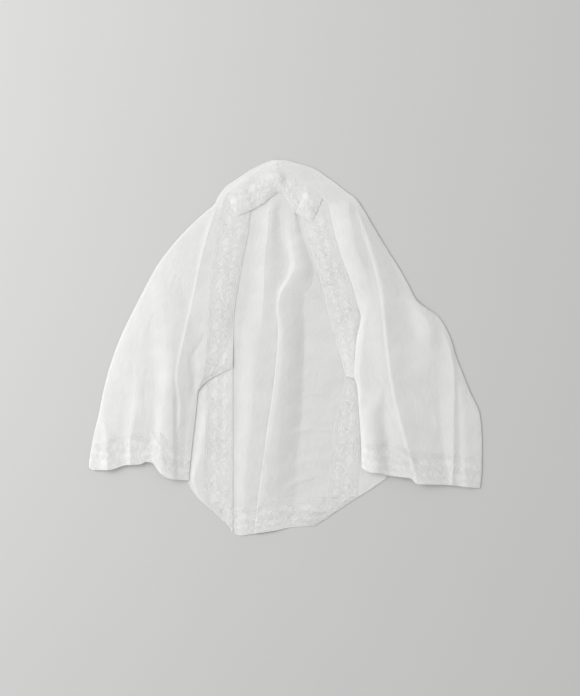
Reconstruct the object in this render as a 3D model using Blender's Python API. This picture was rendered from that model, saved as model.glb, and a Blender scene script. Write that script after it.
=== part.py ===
"""Sheer cotton bolero with lace bands, laid flat on a table with its fronts open.

Sizes are in millimetres until a mesh is made. X runs across the garment, Y from
the hem up to the neck and Z up from the table. A section is a line across the
cloth at one Y. Each table has a row for a section, and each fold has a row for
every section where its place, height or width changes.
"""

import bisect
import functools
import math
from enum import Enum
from typing import NamedTuple

import bmesh
import bpy
from mathutils import Vector

MM = 0.001
WALL = 1.2
GAP = 0.3
LAYER = WALL + GAP
HALF_SEAM = GAP / 2.0

FOLDS_BEGIN = 217.0
FOLDS_EASE = 30.0
EDGE_PUFF_REACH = 18.0
EVEN_POWER = 1.25
ROUND_POWER = 1.3
PLEAT_LEVEL = 1.7
PLEAT_HOLD = 4.0
PLEAT_RISES_BETWEEN = (-8.0, -2.0)
PLEAT_LEAST_FLANK = 0.85
PLEAT_LEAST_LAP = 7.0
PLEAT_TURNS_FROM = 200.0
PLEAT_LAPS_BETWEEN = (2.0, 8.0)
SWELL_SHARE = 0.85
SHELF_STARTS = 0.2
KEEN_BETWEEN = (0.0, 90.0)
FADE_BETWEEN = (214.0, 250.0)
HELD_LEAST = 1.5
FALL_LEAST = 4.0
SLEEVE_COLUMNS = 3
FLANK_COLUMNS = (2, 2)
SHELF_COLUMNS = 3
HELD_COLUMNS = 2
FALL_COLUMNS = 4
RIGHT_COLUMNS = 4
COLLAR_STEPS = 4
ROW_MATCH = 0.001
LEAST_LEAN = 0.7
SHIFT_WIDTH = 60.0
LEAST_STEP = 1.6
BAND_LEAST = 40.0
BAND_CLEAR = 5.0
BAND_HIDDEN = 9.0
BAND_HIDES_BETWEEN = (20.0, 48.0)
BAND_LAPS_BETWEEN = (-28.0, 5.0)
BAND_END_Y = -44.0
BAND_END_SLOPE = -0.35
LOWER_LEFT_INNER = -84.0
FOLD_MARGIN = 1.2
TUCK_LAP = 12.0
TUCK_BEND_FROM = 75.0
TUCK_STACK = (18.0, 55.0)
LEFT_STACK_EDGE = (-235.0, -190.0)
RIGHT_STACK_TOP = (50.0, 90.0)
RIGHT_STACK_EDGE = (138.0, 214.0)
RIGHT_CORNER = (-150.0, -100.0)
RIGHT_CORNER_SHIFT = 32.0
CUFF_BACK_SHORT = 3.0
CUFF_BACK_CLEAR = 1.5
CUFF_SEAM_LIFT = 1.0
SHARP_ANGLE = 40.0
ROUGHNESS = 0.9

TUCKED_ROWS = (60, 40, 20, 0, -20, -45, -69)
LOWER_LEFT_ROWS = (-70, -110, -150, -190, -222, -238, -249, -261, -274, -286, -294)
LOWER_RIGHT_ROWS = (-36, -70, -110, -149, -180, -203, -223, -240, -250, -263, -268)
LOWER_GAUZE_ROWS = 7
BACK_ROWS = (300, 298, 295, 291, 285, 277, 268, 259, 248, 236, 224, 210, 195, 178, 160, 142, 125, 108, 90, 70,
             48, 20, -10, -40, -75)
BODY_ROWS = (-203, -223)
BACK_CORNER_LEFT = (-158, -158)
BACK_CORNER_RIGHT = (137, -150)
RIGHT_SEAM_FROM = 150.0


class Slope(Enum):
    """How one side of a fold comes down from its crest."""

    SOFT = "eased at its crest and its foot"
    KEEN = "steepest beside a sharp crest"
    EVEN = "straight down"
    ROUND = "steepest at its foot"


class Edge(NamedTuple):
    """One section of a front: its outer fold and its inner seam or fold."""

    y: float
    outer: float
    inner: float


class Fold(NamedTuple):
    """One section of a fold: its crest, its height and its width on each side."""

    y: float
    x: float
    height: float
    left: float
    right: float


class FoldRows(NamedTuple):
    """One fold's table, with how each of its sides comes down."""

    left_slope: Slope
    right_slope: Slope
    rows: tuple


class Roll(NamedTuple):
    """One section of the back roll: its crest, its left foot and the shelf to its right."""

    y: float
    x: float
    height: float
    left: float
    shelf: float


class Pleat(NamedTuple):
    """One section of the back pleat: its edge, its lap, its flank's share and its crest height."""

    y: float
    x: float
    lap: float
    flank: float
    crest: float


class PleatStop(NamedTuple):
    """One point round the pleat: where it lies when open, and when folded over."""

    open_x: float
    open_rise: float
    lap_share: float
    folded_x: float
    level: float


class CollarSection(NamedTuple):
    """One section of the collar: its seam's Y, its free edge and its heights."""

    seam_y: float
    edge_x: float
    edge_y: float
    middle_z: float
    edge_z: float


LEFT_EDGES = (
    Edge(300, -22, -12), Edge(296, -33, -12), Edge(291, -44, -13), Edge(285, -55, -34),
    Edge(279, -64, -44), Edge(273, -73, -53), Edge(266, -84, -63), Edge(259, -94, -73),
    Edge(251, -101, -83), Edge(243, -107, -94), Edge(230, -113, -100), Edge(217, -128, -105),
    Edge(190, -157, -109), Edge(160, -184, -113), Edge(130, -206, -118), Edge(95, -225, -121),
    Edge(60, -243, -123), Edge(25, -260, -126), Edge(-10, -274, -128), Edge(-45, -285, -132),
    Edge(-69, -291, -140), Edge(-100, -297, -143), Edge(-152, -309, -149), Edge(-191, -314, -153),
    Edge(-215, -314, -155),
)
RIGHT_EDGES = (
    Edge(300, 2, -12), Edge(296, 15, -12), Edge(291, 34, -12), Edge(286, 47, -4),
    Edge(281, 56, 4), Edge(274, 65, 12), Edge(268, 74, 20), Edge(262, 82, 30),
    Edge(257, 88, 38), Edge(248, 100, 48), Edge(239, 112, 59), Edge(227, 121, 68),
    Edge(195, 140, 75), Edge(160, 161, 85), Edge(130, 180, 95), Edge(102, 196, 106),
    Edge(76, 210, 113), Edge(48, 246, 120), Edge(15, 264, 114), Edge(-15, 273, 111),
    Edge(-40, 283, 110), Edge(-66, 293, 115), Edge(-109, 311, 118), Edge(-150, 314, 121),
    Edge(-190, 314, 122), Edge(-225, 311, 123),
)
LEFT_CUFF_SEAM = ((-309, -152), (-290, -151), (-270, -139), (-249, -136), (-226, -135), (-202, -132),
                  (-182, -152), (-149, -159))
LEFT_CUFF_END = ((-314, -191), (-307, -195), (-283, -195), (-253, -187), (-233, -186), (-222, -182),
                 (-214, -183), (-200, -199), (-190, -206), (-177, -210), (-155, -212))
RIGHT_CUFF_SEAM = ((121, -149), (145, -149), (179, -154), (201, -163), (235, -167), (273, -168),
                   (313, -173))
RIGHT_CUFF_END = ((122, -191), (133, -198), (153, -200), (167, -204), (199, -208), (211, -217),
                  (261, -219), (294, -223), (311, -224))
LEFT_TUCK = ((-140, -69), (-132, -59), (-120, -49), (-105, -42), (-84, -32))
HEM_SEAM = ((-126, -254), (-83, -255), (-47, -256), (-34, -245), (0, -239), (66, -239), (116, -239))
HEM_END = ((-90, -286), (-82, -297), (-72, -300), (-50, -297), (-16, -292), (10, -287), (46, -285))

LEFT_FOLDS = {
    "outer": FoldRows(Slope.SOFT, Slope.KEEN, (
        Fold(217, -125, 0, 6, 8), Fold(60, -226, 0, 14, 20), Fold(-57, -277, 0, 14, 16),
        Fold(-100, -290, 0.4, 14, 14), Fold(-131, -285, 1.4, 14, 18), Fold(-155, -283, 3.0, 16, 24),
        Fold(-195, -283, 3.6, 16, 26))),
    "spine": FoldRows(Slope.KEEN, Slope.EVEN, (
        Fold(217, -123, 0, 6, 8), Fold(190, -145, 0, 6, 8), Fold(130, -190, 0, 14, 14),
        Fold(60, -216, 0, 14, 14), Fold(-10, -238, 0.2, 16, 24), Fold(-51, -237, 1.3, 16, 32),
        Fold(-89, -237, 2.7, 19, 38), Fold(-115, -242, 3.2, 20, 38), Fold(-133, -245, 3.0, 18, 36),
        Fold(-148, -248, 2.8, 11, 32), Fold(-195, -248, 2.6, 9, 28))),
    "shelf": FoldRows(Slope.SOFT, Slope.ROUND, (
        Fold(217, -120, 0, 6, 8), Fold(130, -176, 0, 14, 12), Fold(100, -192, 1.0, 24, 24),
        Fold(77, -193, 2.0, 28, 34), Fold(13, -188, 3.4, 30, 44), Fold(-51, -184, 3.8, 26, 40),
        Fold(-85, -190, 3.4, 22, 38), Fold(-115, -194, 3.3, 18, 40), Fold(-150, -197, 4.0, 17, 38),
        Fold(-171, -197, 4.4, 18, 36), Fold(-205, -197, 4.6, 18, 36))),
    "drop": FoldRows(Slope.SOFT, Slope.SOFT, (
        Fold(217, -115, 0, 8, 4), Fold(100, -184, 0, 20, 5), Fold(77, -182, 0, 24, 5),
        Fold(13, -181, 0.2, 26, 6), Fold(-51, -181, 0.9, 26, 8), Fold(-115, -181, 1.6, 26, 9),
        Fold(-171, -181, 1.6, 24, 11), Fold(-205, -181, 1.6, 24, 11))),
    "ridge": FoldRows(Slope.KEEN, Slope.EVEN, (
        Fold(217, -113, 0.7, 8, 7), Fold(190, -122, 1.1, 8, 16), Fold(141, -135, 1.0, 6, 18),
        Fold(77, -148, 1.1, 6, 20), Fold(13, -162, 1.1, 6, 22), Fold(-30, -171, 0.8, 5, 20),
        Fold(-51, -173, 0.7, 4, 16), Fold(-89, -168, 0.7, 5, 10), Fold(-115, -168, 0.7, 5, 9),
        Fold(-140, -174, 0, 5, 7), Fold(-205, -172, 0, 5, 7))),
    "groove": FoldRows(Slope.SOFT, Slope.SOFT, (
        Fold(217, -107, 0, 6, 4), Fold(45, -121, 0, 6, 6), Fold(13, -133, -0.5, 6, 9),
        Fold(-18, -149, -0.8, 9, 12), Fold(-53, -146, -0.8, 9, 12), Fold(-80, -148, -0.4, 9, 8),
        Fold(-110, -150, 0, 9, 8), Fold(-205, -158, 0, 7, 7))),
}
RIGHT_FOLDS = {
    "inner": FoldRows(Slope.EVEN, Slope.EVEN, (
        Fold(217, 101, 2.6, 40, 20), Fold(190, 107, 3.8, 56, 34), Fold(155, 113, 4.6, 60, 48),
        Fold(124, 127, 4.6, 62, 50), Fold(92, 136, 4.0, 56, 46), Fold(28, 126, 3.2, 40, 48),
        Fold(-35, 119, 3.0, 24, 50), Fold(-75, 119, 2.6, 18, 44), Fold(-115, 120, 1.8, 12, 26),
        Fold(-200, 123, 0.8, 8, 16))),
    "cone": FoldRows(Slope.ROUND, Slope.SOFT, (
        Fold(217, 107, 0, 8, 6), Fold(100, 141, 0, 8, 8), Fold(-60, 152, 0, 14, 8),
        Fold(-85, 147, 2.4, 18, 14), Fold(-115, 141, 4.2, 21, 22), Fold(-150, 141, 5.6, 22, 25),
        Fold(-179, 142, 6.2, 22, 26), Fold(-205, 142, 6.4, 22, 26))),
    "mound": FoldRows(Slope.SOFT, Slope.ROUND, (
        Fold(217, 116, 0, 8, 10), Fold(141, 144, 0.8, 14, 26), Fold(93, 156, 2.6, 24, 38),
        Fold(28, 162, 4.2, 34, 42), Fold(-35, 169, 5.6, 42, 78), Fold(-115, 185, 5.8, 38, 64),
        Fold(-179, 204, 5.8, 42, 52), Fold(-205, 211, 5.8, 44, 50))),
    "drape": FoldRows(Slope.SOFT, Slope.EVEN, (
        Fold(217, 117, 0.6, 6, 10), Fold(181, 131, 1.2, 8, 20), Fold(141, 144, 1.5, 9, 26),
        Fold(93, 155, 1.4, 8, 26), Fold(28, 161, 1.5, 6, 26), Fold(-35, 168, 1.6, 6, 28),
        Fold(-115, 184, 1.6, 6, 28), Fold(-179, 203, 1.6, 8, 28), Fold(-205, 210, 1.6, 8, 28))),
    "soft": FoldRows(Slope.SOFT, Slope.SOFT, (
        Fold(217, 120, 0, 6, 6), Fold(90, 192, 0, 12, 10), Fold(69, 212, 1.8, 24, 18),
        Fold(28, 229, 3.2, 28, 24), Fold(-3, 228, 1.8, 26, 24), Fold(-40, 228, 0.4, 22, 22),
        Fold(-60, 232, 0, 20, 20), Fold(-205, 242, 0, 14, 14))),
    "far": FoldRows(Slope.KEEN, Slope.KEEN, (
        Fold(217, 122, 0, 5, 5), Fold(60, 222, 0, 10, 8), Fold(15, 257, 0.6, 12, 8),
        Fold(-15, 266, 1.6, 16, 8), Fold(-53, 270, 2.2, 20, 12), Fold(-115, 269, 2.2, 26, 12),
        Fold(-179, 268, 2.2, 18, 12), Fold(-216, 266, 2.2, 18, 12))),
    "last": FoldRows(Slope.SOFT, Slope.SOFT, (
        Fold(217, 124, 0, 4, 4), Fold(60, 226, 0, 6, 6), Fold(15, 259, 0, 6, 5),
        Fold(-46, 276, 0.3, 6, 10), Fold(-76, 282, 0.9, 8, 14), Fold(-117, 285, 1.3, 10, 18),
        Fold(-158, 287, 1.1, 9, 18), Fold(-216, 289, 1.0, 9, 16))),
}
LEFT_PUFF = ((300, 1.8), (217, 2.2), (141, 3.2), (77, 4.8), (13, 5.6), (-51, 5.4), (-115, 4.8), (-171, 4.4),
             (-205, 4.2))
LEFT_REST = ((300, -12), (250, -50), (219, -55), (181, -60), (147, -67), (101, -75), (61, -81), (21, -88),
             (-20, -104), (-50, -122), (-75, -138), (-100, -143), (-152, -149), (-191, -153), (-215, -155))
RIGHT_PUFF = ((300, 2.4), (217, 2.6), (141, 2.8), (28, 3.0), (-35, 3.0), (-115, 3.0), (-205, 2.8))
BACK_ROLL = (Roll(250, -28, 1.0, 12, 0.6), Roll(213, -27, 3.2, 24, 1.0), Roll(188, -28, 4.0, 24, 1.4),
             Roll(141, -33, 4.4, 26, 2.4), Roll(110, -34, 4.4, 28, 3.1), Roll(77, -35, 4.4, 30, 3.9),
             Roll(13, -41, 4.9, 34, 4.4), Roll(-51, -47, 5.0, 32, 4.6), Roll(-115, -51, 4.8, 30, 4.6),
             Roll(-171, -57, 4.5, 26, 4.3), Roll(-243, -63, 3.2, 20, 3.0), Roll(-298, -64, 1.2, 16, 1.0))
BACK_PLEAT = (Pleat(250, 6, -8, 1, 0.3), Pleat(213, 7, -8, 1, 0.6), Pleat(188, 8, -8, 1, 1.6),
              Pleat(160, 12, -8, 1, 3.4), Pleat(135, 16, -8, 1, 4.6), Pleat(118, 11, -7, 0.85, 4.4),
              Pleat(103, 2, -5, 0.65, 3.0), Pleat(86, -8, -2, 0.45, 2.0), Pleat(60, -11, 2, 0.35, 1.4),
              Pleat(19, -12, 8, 0.35, 0.8), Pleat(-53, -18, 13, 0.35, 0.7), Pleat(-131, -29, 20, 0.35, 0.6),
              Pleat(-211, -40, 28, 0.35, 0.5), Pleat(-250, -45, 31, 0.35, 0.4),
              Pleat(-298, -50, 33, 0.35, 0.2))
FALL_END = ((250, 20), (188, 34), (141, 46), (103, 44), (86, 32), (60, 30), (19, 31), (-53, 29), (-131, 25),
            (-171, 20), (-211, 19), (-250, 16), (-298, 8))
BAND_SWELL = ((215, 0.0), (195, 0.8), (175, 2.2), (141, 3.0), (103, 2.4), (77, 1.3), (40, 0.3), (20, 0.0))
LOWER_FOLD = FoldRows(Slope.SOFT, Slope.EVEN, (
    Fold(-70, -119, 0, 10, 20), Fold(-115, -125, 1.6, 14, 26), Fold(-155, -131, 2.4, 14, 30),
    Fold(-183, -138, 2.4, 12, 32), Fold(-208, -145, 1.8, 8, 32), Fold(-238, -136, 0.4, 6, 30),
    Fold(-255, -124, 0, 6, 30)))
PLEAT_STOPS = (
    PleatStop(-15, 0.00, 0, -6.0, 0.0), PleatStop(-10, 0.10, 1, -2.2, 0.0),
    PleatStop(-7.5, 0.28, 1, 0.0, 0.5), PleatStop(-5.5, 0.46, 1, -2.2, 1.0),
    PleatStop(-3.5, 0.66, 0, 2.2, 1.0), PleatStop(-1.5, 0.84, 0, 0.0, 1.5),
    PleatStop(1.0, 0.96, 0, 2.2, 2.0), PleatStop(6.0, 1.00, 0, 8.0, 2.0),
)
BAND_SEAM_END = 90.0
BAND_SEAM_START = 226.0
BODY_LEFT = ((250, -88), (217, -98), (130, -112), (0, -130), (-69, -142), (-157, -158), (-205, -158),
             (-222, -153), (-238, -142), (-254, -125), (-272, -105), (-290, -90), (-300, -88))
BODY_RIGHT = ((250, 60), (217, 80), (130, 104), (0, 125), (-90, 130), (-149, 137), (-180, 154),
              (-203, 164), (-223, 142), (-238, 118), (-250, 100), (-263, 80), (-274, 64), (-287, 44))
BAND_LEFT_INNER = ((243, -50), (219, -55), (181, -60), (147, -67), (101, -75), (61, -81), (21, -83),
                   (-32, -84), (-80, -84))
BAND_RIGHT_INNER = ((230, 20), (194, 29), (169, 36), (136, 48), (93, 60), (57, 68), (17, 79), (-17, 89),
                    (-45, 96))
LOWER_LEFT_HIDDEN = ((-20, -152), (-110, -152), (-157, -156), (-205, -156), (-222, -152), (-238, -141),
                     (-254, -124), (-272, -104), (-290, -89), (-300, -87))
LOWER_LEFT_SEAM = ((-20, -127), (-99, -127), (-163, -129), (-208, -131), (-250, -129))
LOWER_RIGHT_INNER = ((-30, 92), (-45, 95), (-89, 88), (-117, 80), (-162, 74), (-209, 69), (-245, 66),
                     (-285, 64))
LOWER_RIGHT_SEAM = ((-30, 121), (-77, 120), (-146, 121), (-184, 119), (-218, 116), (-240, 115))
LOWER_RIGHT_HIDDEN = ((-30, 127), (-90, 129), (-149, 135), (-180, 152), (-203, 162), (-223, 140),
                      (-238, 116), (-250, 98), (-263, 79), (-272, 67), (-285, 60))
LEFT_COLLAR = (
    CollarSection(243, -77, 209, 5.1, 4.7), CollarSection(251, -66, 215, 6.2, 4.5),
    CollarSection(259, -55, 220, 6.0, 4.0), CollarSection(266, -47, 224, 5.2, 3.3),
    CollarSection(273, -40, 228, 5.0, 3.2), CollarSection(279, -33, 232, 5.6, 3.6),
    CollarSection(285, -26, 238, 6.4, 3.2), CollarSection(291, -12, 248, 7.4, 2.7),
)
RIGHT_COLLAR = (
    CollarSection(286, -5, 246, 6.4, 2.6), CollarSection(281, 1, 240, 5.0, 2.8),
    CollarSection(274, 7, 230, 4.6, 3.2), CollarSection(268, 12, 221, 4.8, 3.7),
    CollarSection(262, 18, 215, 5.4, 3.7), CollarSection(257, 25, 211, 6.2, 3.9),
    CollarSection(248, 34, 205, 6.2, 4.2), CollarSection(239, 43, 200, 5.4, 4.6),
)
LEFT_NECK_RISE = ((300, 1.6), (291, 2.6), (273, 2.8), (259, 2.6), (251, 2.2), (243, 1.8), (230, 0.8),
                  (217, 0.0))
RIGHT_NECK_RISE = ((300, 1.6), (291, 2.6), (268, 2.8), (257, 2.6), (248, 2.2), (239, 1.8), (227, 0.8),
                   (213, 0.0))

GAUZE = (0.86, 0.87, 0.86, 1.0)
LACE = (0.93, 0.93, 0.91, 1.0)


def smooth_step(low, high, value):
    """Return 0 below low, 1 above high and an even ease between them."""
    share = min(max((value - low) / (high - low), 0.0), 1.0)
    return share * share * (3.0 - 2.0 * share)


def curve(knots):
    """Return a function that runs smoothly through (at, value) knots, with no overshoot."""
    ordered = sorted(knots)
    at = [knot[0] for knot in ordered]
    value = [knot[1] for knot in ordered]
    slopes = [(value[i + 1] - value[i]) / (at[i + 1] - at[i]) for i in range(len(at) - 1)]
    tangents = [slopes[0]]
    for before, after in zip(slopes, slopes[1:]):
        even = before * after > 0.0
        tangents.append(2.0 * before * after / (before + after) if even else 0.0)
    tangents.append(slopes[-1])

    def read(where):
        """Return the curve's value at one place, held level past its ends."""
        if where <= at[0]:
            return value[0]
        if where >= at[-1]:
            return value[-1]
        i = bisect.bisect_right(at, where) - 1
        span = at[i + 1] - at[i]
        t = (where - at[i]) / span
        rise = value[i + 1] - value[i]
        start, end = tangents[i] * span, tangents[i + 1] * span
        bend = start + end - 2.0 * rise
        return value[i] + t * (start + t * (rise - start - bend + t * bend))

    return read


def column(rows, name):
    """Return the curve of one named column of a table over its sections' Y."""
    return curve([(row.y, getattr(row, name)) for row in rows])


def come_down(slope, share):
    """Return how much of a fold's height is left at a share, 0 to 1, of the way down its side."""
    if slope is Slope.KEEN:
        return (1.0 - share) ** 2
    if slope is Slope.EVEN:
        return (1.0 - share) ** EVEN_POWER
    if slope is Slope.ROUND:
        return (1.0 - share * share) ** ROUND_POWER
    return 0.5 + 0.5 * math.cos(math.pi * share)


class FoldLine:
    """A fold that runs down the cloth, read from its table."""

    def __init__(self, table):
        self.slopes = (table.left_slope, table.right_slope)
        self.x = column(table.rows, "x")
        self.height = column(table.rows, "height")
        self.left = column(table.rows, "left")
        self.right = column(table.rows, "right")

    def rise(self, x, y):
        """Return how far the fold lifts the cloth at one place."""
        offset = x - self.x(y)
        slope, reach = (self.slopes[0], self.left(y)) if offset < 0.0 else (self.slopes[1], self.right(y))
        return self.height(y) * come_down(slope, min(abs(offset) / reach, 1.0))


class Side:
    """One front with its sleeve: its edges, folds and the height that it lies at."""

    settle_reach = 40.0

    def __init__(self, edges, folds, puff, neck_rise, cuff_seam, cuff_end):
        self.outer = column(edges, "outer")
        self.inner = column(edges, "inner")
        self.folds = {name: FoldLine(table) for name, table in folds.items()}
        self.rest = self.inner
        self.puff = curve(puff)
        self.neck_rise = curve(neck_rise)
        self.cuff_seam = curve(cuff_seam)
        self.cuff_end = curve(cuff_end)

    def guide(self, name, y, shift=0.0):
        """Return a fold's X, squeezed between the edges above the first section of folds."""
        at = min(y, FOLDS_BEGIN)
        outer, inner = self.outer(at), self.inner(at)
        x = self.folds[name].x(at) + shift * min(abs(outer - inner) / SHIFT_WIDTH, 1.0)
        if y <= FOLDS_BEGIN:
            return x
        share = (x - outer) / (inner - outer)
        return self.outer(y) + share * (self.inner(y) - self.outer(y))

    def under(self, x, y):
        """Return the height of what this front lies on, above the back's own layer."""
        raise NotImplementedError

    def height(self, x, y):
        """Return the middle of the cloth wall at one place."""
        outer, inner = self.outer(y), self.inner(y)
        inset = abs(x - outer)
        across = min(max(inset / abs(inner - outer), 0.0), 1.0)
        neck = smooth_step(0.0, 1.0, across) * self.neck_rise(y)
        puff = self.puff(y) * (1.0 - math.exp(-inset / EDGE_PUFF_REACH))
        from_rest = (self.rest(y) - x) * math.copysign(1.0, inner - outer)
        flat_share = 1.0 - min(max(from_rest / self.settle_reach, 0.0), 1.0)
        folds = sum(fold.rise(x, y) for fold in self.folds.values())
        shown = 1.0 - smooth_step(FOLDS_BEGIN, FOLDS_BEGIN + FOLDS_EASE, y)
        raised = (puff * (1.0 - flat_share ** 2) + folds) * shown
        return WALL / 2.0 + LAYER + self.under(x, y) + neck + raised


class LeftSide(Side):
    """The left front, whose lower part hangs over the lower front in a tuck."""

    settle_reach = 78.0

    def __init__(self, *tables):
        super().__init__(*tables)
        self.rest = curve(LEFT_REST)
        self.tuck = curve(LEFT_TUCK)

    def under(self, x, y):
        """Return the lower front's height, below the tuck."""
        start, end = TUCK_STACK
        over = 1.0 - smooth_step(self.tuck(x) + start, self.tuck(x) + end, y)
        return LAYER * over * smooth_step(*LEFT_STACK_EDGE, x)


class RightSide(Side):
    """The right front, whose sleeve fold lies over the front band."""

    settle_reach = 26.0

    def under(self, x, y):
        """Return the height of the bands under the sleeve fold."""
        over = 1.0 - smooth_step(*RIGHT_STACK_TOP, y)
        start, end = RIGHT_STACK_EDGE
        start += RIGHT_CORNER_SHIFT * (1.0 - smooth_step(*RIGHT_CORNER, y))
        return 2.0 * LAYER * over * (1.0 - smooth_step(start, end, x))


def lay(rows, columns):
    """Return the grid of points where row lines cross columns.

    Args:
        rows: functions from X to Y, one for each row line.
        columns: a function from Y to the (X, height, on edge) of each column.

    Returns:
        For each row a list of (point, half wall) pairs.
    """
    grid = []
    read = functools.lru_cache(maxsize=None)(columns)
    for row in rows:
        line = []
        for index in range(len(read(row(0.0)))):
            x, y = 0.0, row(0.0)
            while abs(row(read(y)[index][0]) - y) > ROW_MATCH:
                y = 0.5 * y + 0.5 * row(read(y)[index][0])
            x, z, turned = read(y)[index]
            line.append((Vector((x, y, z)), turned))
        grid.append(line)
    return walled(grid)


def walled(grid):
    """Return (middle, half wall) pairs, with the wall thickened upwards where it leans."""
    made = []
    for r, line in enumerate(grid):
        halves = [half_wall(grid, r, c) for c in range(len(line))]
        lifts = [Vector((0.0, 0.0, 0.0 if turned else half.z - WALL / 2.0))
                 for (_, turned), half in zip(line, halves)]
        made.append([(point + lift, half) for (point, _), lift, half in zip(line, lifts, halves)])
    return made


def half_wall(grid, r, c):
    """Return half the wall at one grid point: upright, or square to a turned section."""
    last_row, last_column = len(grid) - 1, len(grid[r]) - 1
    along = grid[r][min(c + 1, last_column)][0] - grid[r][max(c - 1, 0)][0]
    if grid[r][c][1]:
        along.y = 0.0
        along.normalize()
        return Vector((-along.z, 0.0, along.x)) * (WALL / 2.0)
    down = grid[min(r + 1, last_row)][c][0] - grid[max(r - 1, 0)][c][0]
    normal = along.cross(down)
    lean = abs(normal.z) / max(normal.length, 1e-9)
    return Vector((0.0, 0.0, WALL / 2.0 / max(lean, LEAST_LEAN)))


def material(name, colour):
    """Return a plain cloth material."""
    made = bpy.data.materials.new(name)
    made.use_nodes = True
    shader = made.node_tree.nodes["Principled BSDF"]
    shader.inputs["Base Color"].default_value = colour
    shader.inputs["Roughness"].default_value = ROUGHNESS
    shader.inputs["Metallic"].default_value = 0.0
    return made


def toward(border, inside):
    """Return the small plan step from a seam border towards the piece's inside."""
    step = inside - border
    step.z = 0.0
    return step.normalized() * HALF_SEAM


def block(rows, columns):
    """Return the cells of a rectangle of a grid, from first to last row and column line."""
    return [(r, c) for r in range(*rows) for c in range(*columns)]


def seam_draws(rows, columns, sides):
    """Return each seam point of a rectangle with the inner point that it is drawn towards."""
    draws = {}
    (top, bottom), (first, last) = rows, columns
    for c in range(first, last + 1):
        if "top" in sides:
            draws[top, c] = (top + 1, c)
        if "bottom" in sides:
            draws[bottom, c] = (bottom - 1, c)
    for r in range(top, bottom + 1):
        if "first" in sides:
            draws.setdefault((r, first), (r, first + 1))
        if "last" in sides:
            draws.setdefault((r, last), (r, last - 1))
    return draws


def piece(name, grid, cells, draws, colour):
    """Make one named closed wall from some cells of a grid.

    Args:
        name: the object's name.
        grid: rows of (point, half wall).
        cells: the (row, column) of each cell that the piece fills.
        draws: seam points, each with the inner point that it is drawn back towards.
        colour: the material's base colour.
    """
    model = bmesh.new()
    top, bottom = {}, {}
    for r, c in cells:
        for key in ((r, c), (r, c + 1), (r + 1, c + 1), (r + 1, c)):
            if key in top:
                continue
            point, half = grid[key[0]][key[1]]
            if key in draws:
                inner = draws[key]
                point = point + toward(point, grid[inner[0]][inner[1]][0])
            top[key] = model.verts.new((point + half) * MM)
            bottom[key] = model.verts.new((point - half) * MM)
    rim = {}
    for r, c in cells:
        corners = ((r, c), (r, c + 1), (r + 1, c + 1), (r + 1, c))
        model.faces.new([top[key] for key in corners])
        model.faces.new([bottom[key] for key in reversed(corners)])
        for edge in zip(corners, corners[1:] + corners[:1]):
            if (edge[1], edge[0]) in rim:
                del rim[edge[1], edge[0]]
            else:
                rim[edge] = True
    for start, end in rim:
        model.faces.new((top[end], top[start], bottom[start], bottom[end]))
    bmesh.ops.triangulate(model, faces=model.faces[:])
    bmesh.ops.recalc_face_normals(model, faces=model.faces[:])
    mesh = bpy.data.meshes.new(name)
    model.to_mesh(mesh)
    model.free()
    mesh.shade_smooth()
    mesh.set_sharp_from_angle(angle=math.radians(SHARP_ANGLE))
    mesh.materials.append(material(name + "_cloth", colour))
    bpy.context.scene.collection.objects.link(bpy.data.objects.new(name, mesh))


def strip(name, grid, rows, columns, sides, colour):
    """Make a piece from a rectangle of a grid, drawn back at its seams."""
    piece(name, grid, block(rows, columns), seam_draws(rows, columns, sides), colour)


def between(stops, counts):
    """Return places through the stops, with an even count of steps between each two."""
    places = []
    for start, end, count in zip(stops, stops[1:], counts):
        places += [start + (end - start) * k / count for k in range(count)]
    return places + [stops[-1]]


def spread(stops, counts):
    """Return the stops kept in order, each far enough past the last for its steps."""
    least = min(LEAST_STEP, (stops[-1] - stops[0]) / sum(counts) / 2.0)
    kept = list(stops)
    for i, count in enumerate(counts[:-1]):
        kept[i + 1] = max(kept[i + 1], kept[i] + least * count)
    for i in range(len(counts) - 1, 0, -1):
        kept[i] = min(kept[i], kept[i + 1] - least * counts[i])
    return kept


def blended(upper, lower, steps, last):
    """Return row lines from one line down to another, the upper one left out."""
    count = steps + (1 if last else 0)
    shares = [(k + 1) / (steps + 1) for k in range(count)]
    return [lambda x, s=share: (1.0 - s) * upper(x) + s * lower(x) for share in shares]


def level(y):
    """Return a straight row line."""
    return lambda x: y


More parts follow.
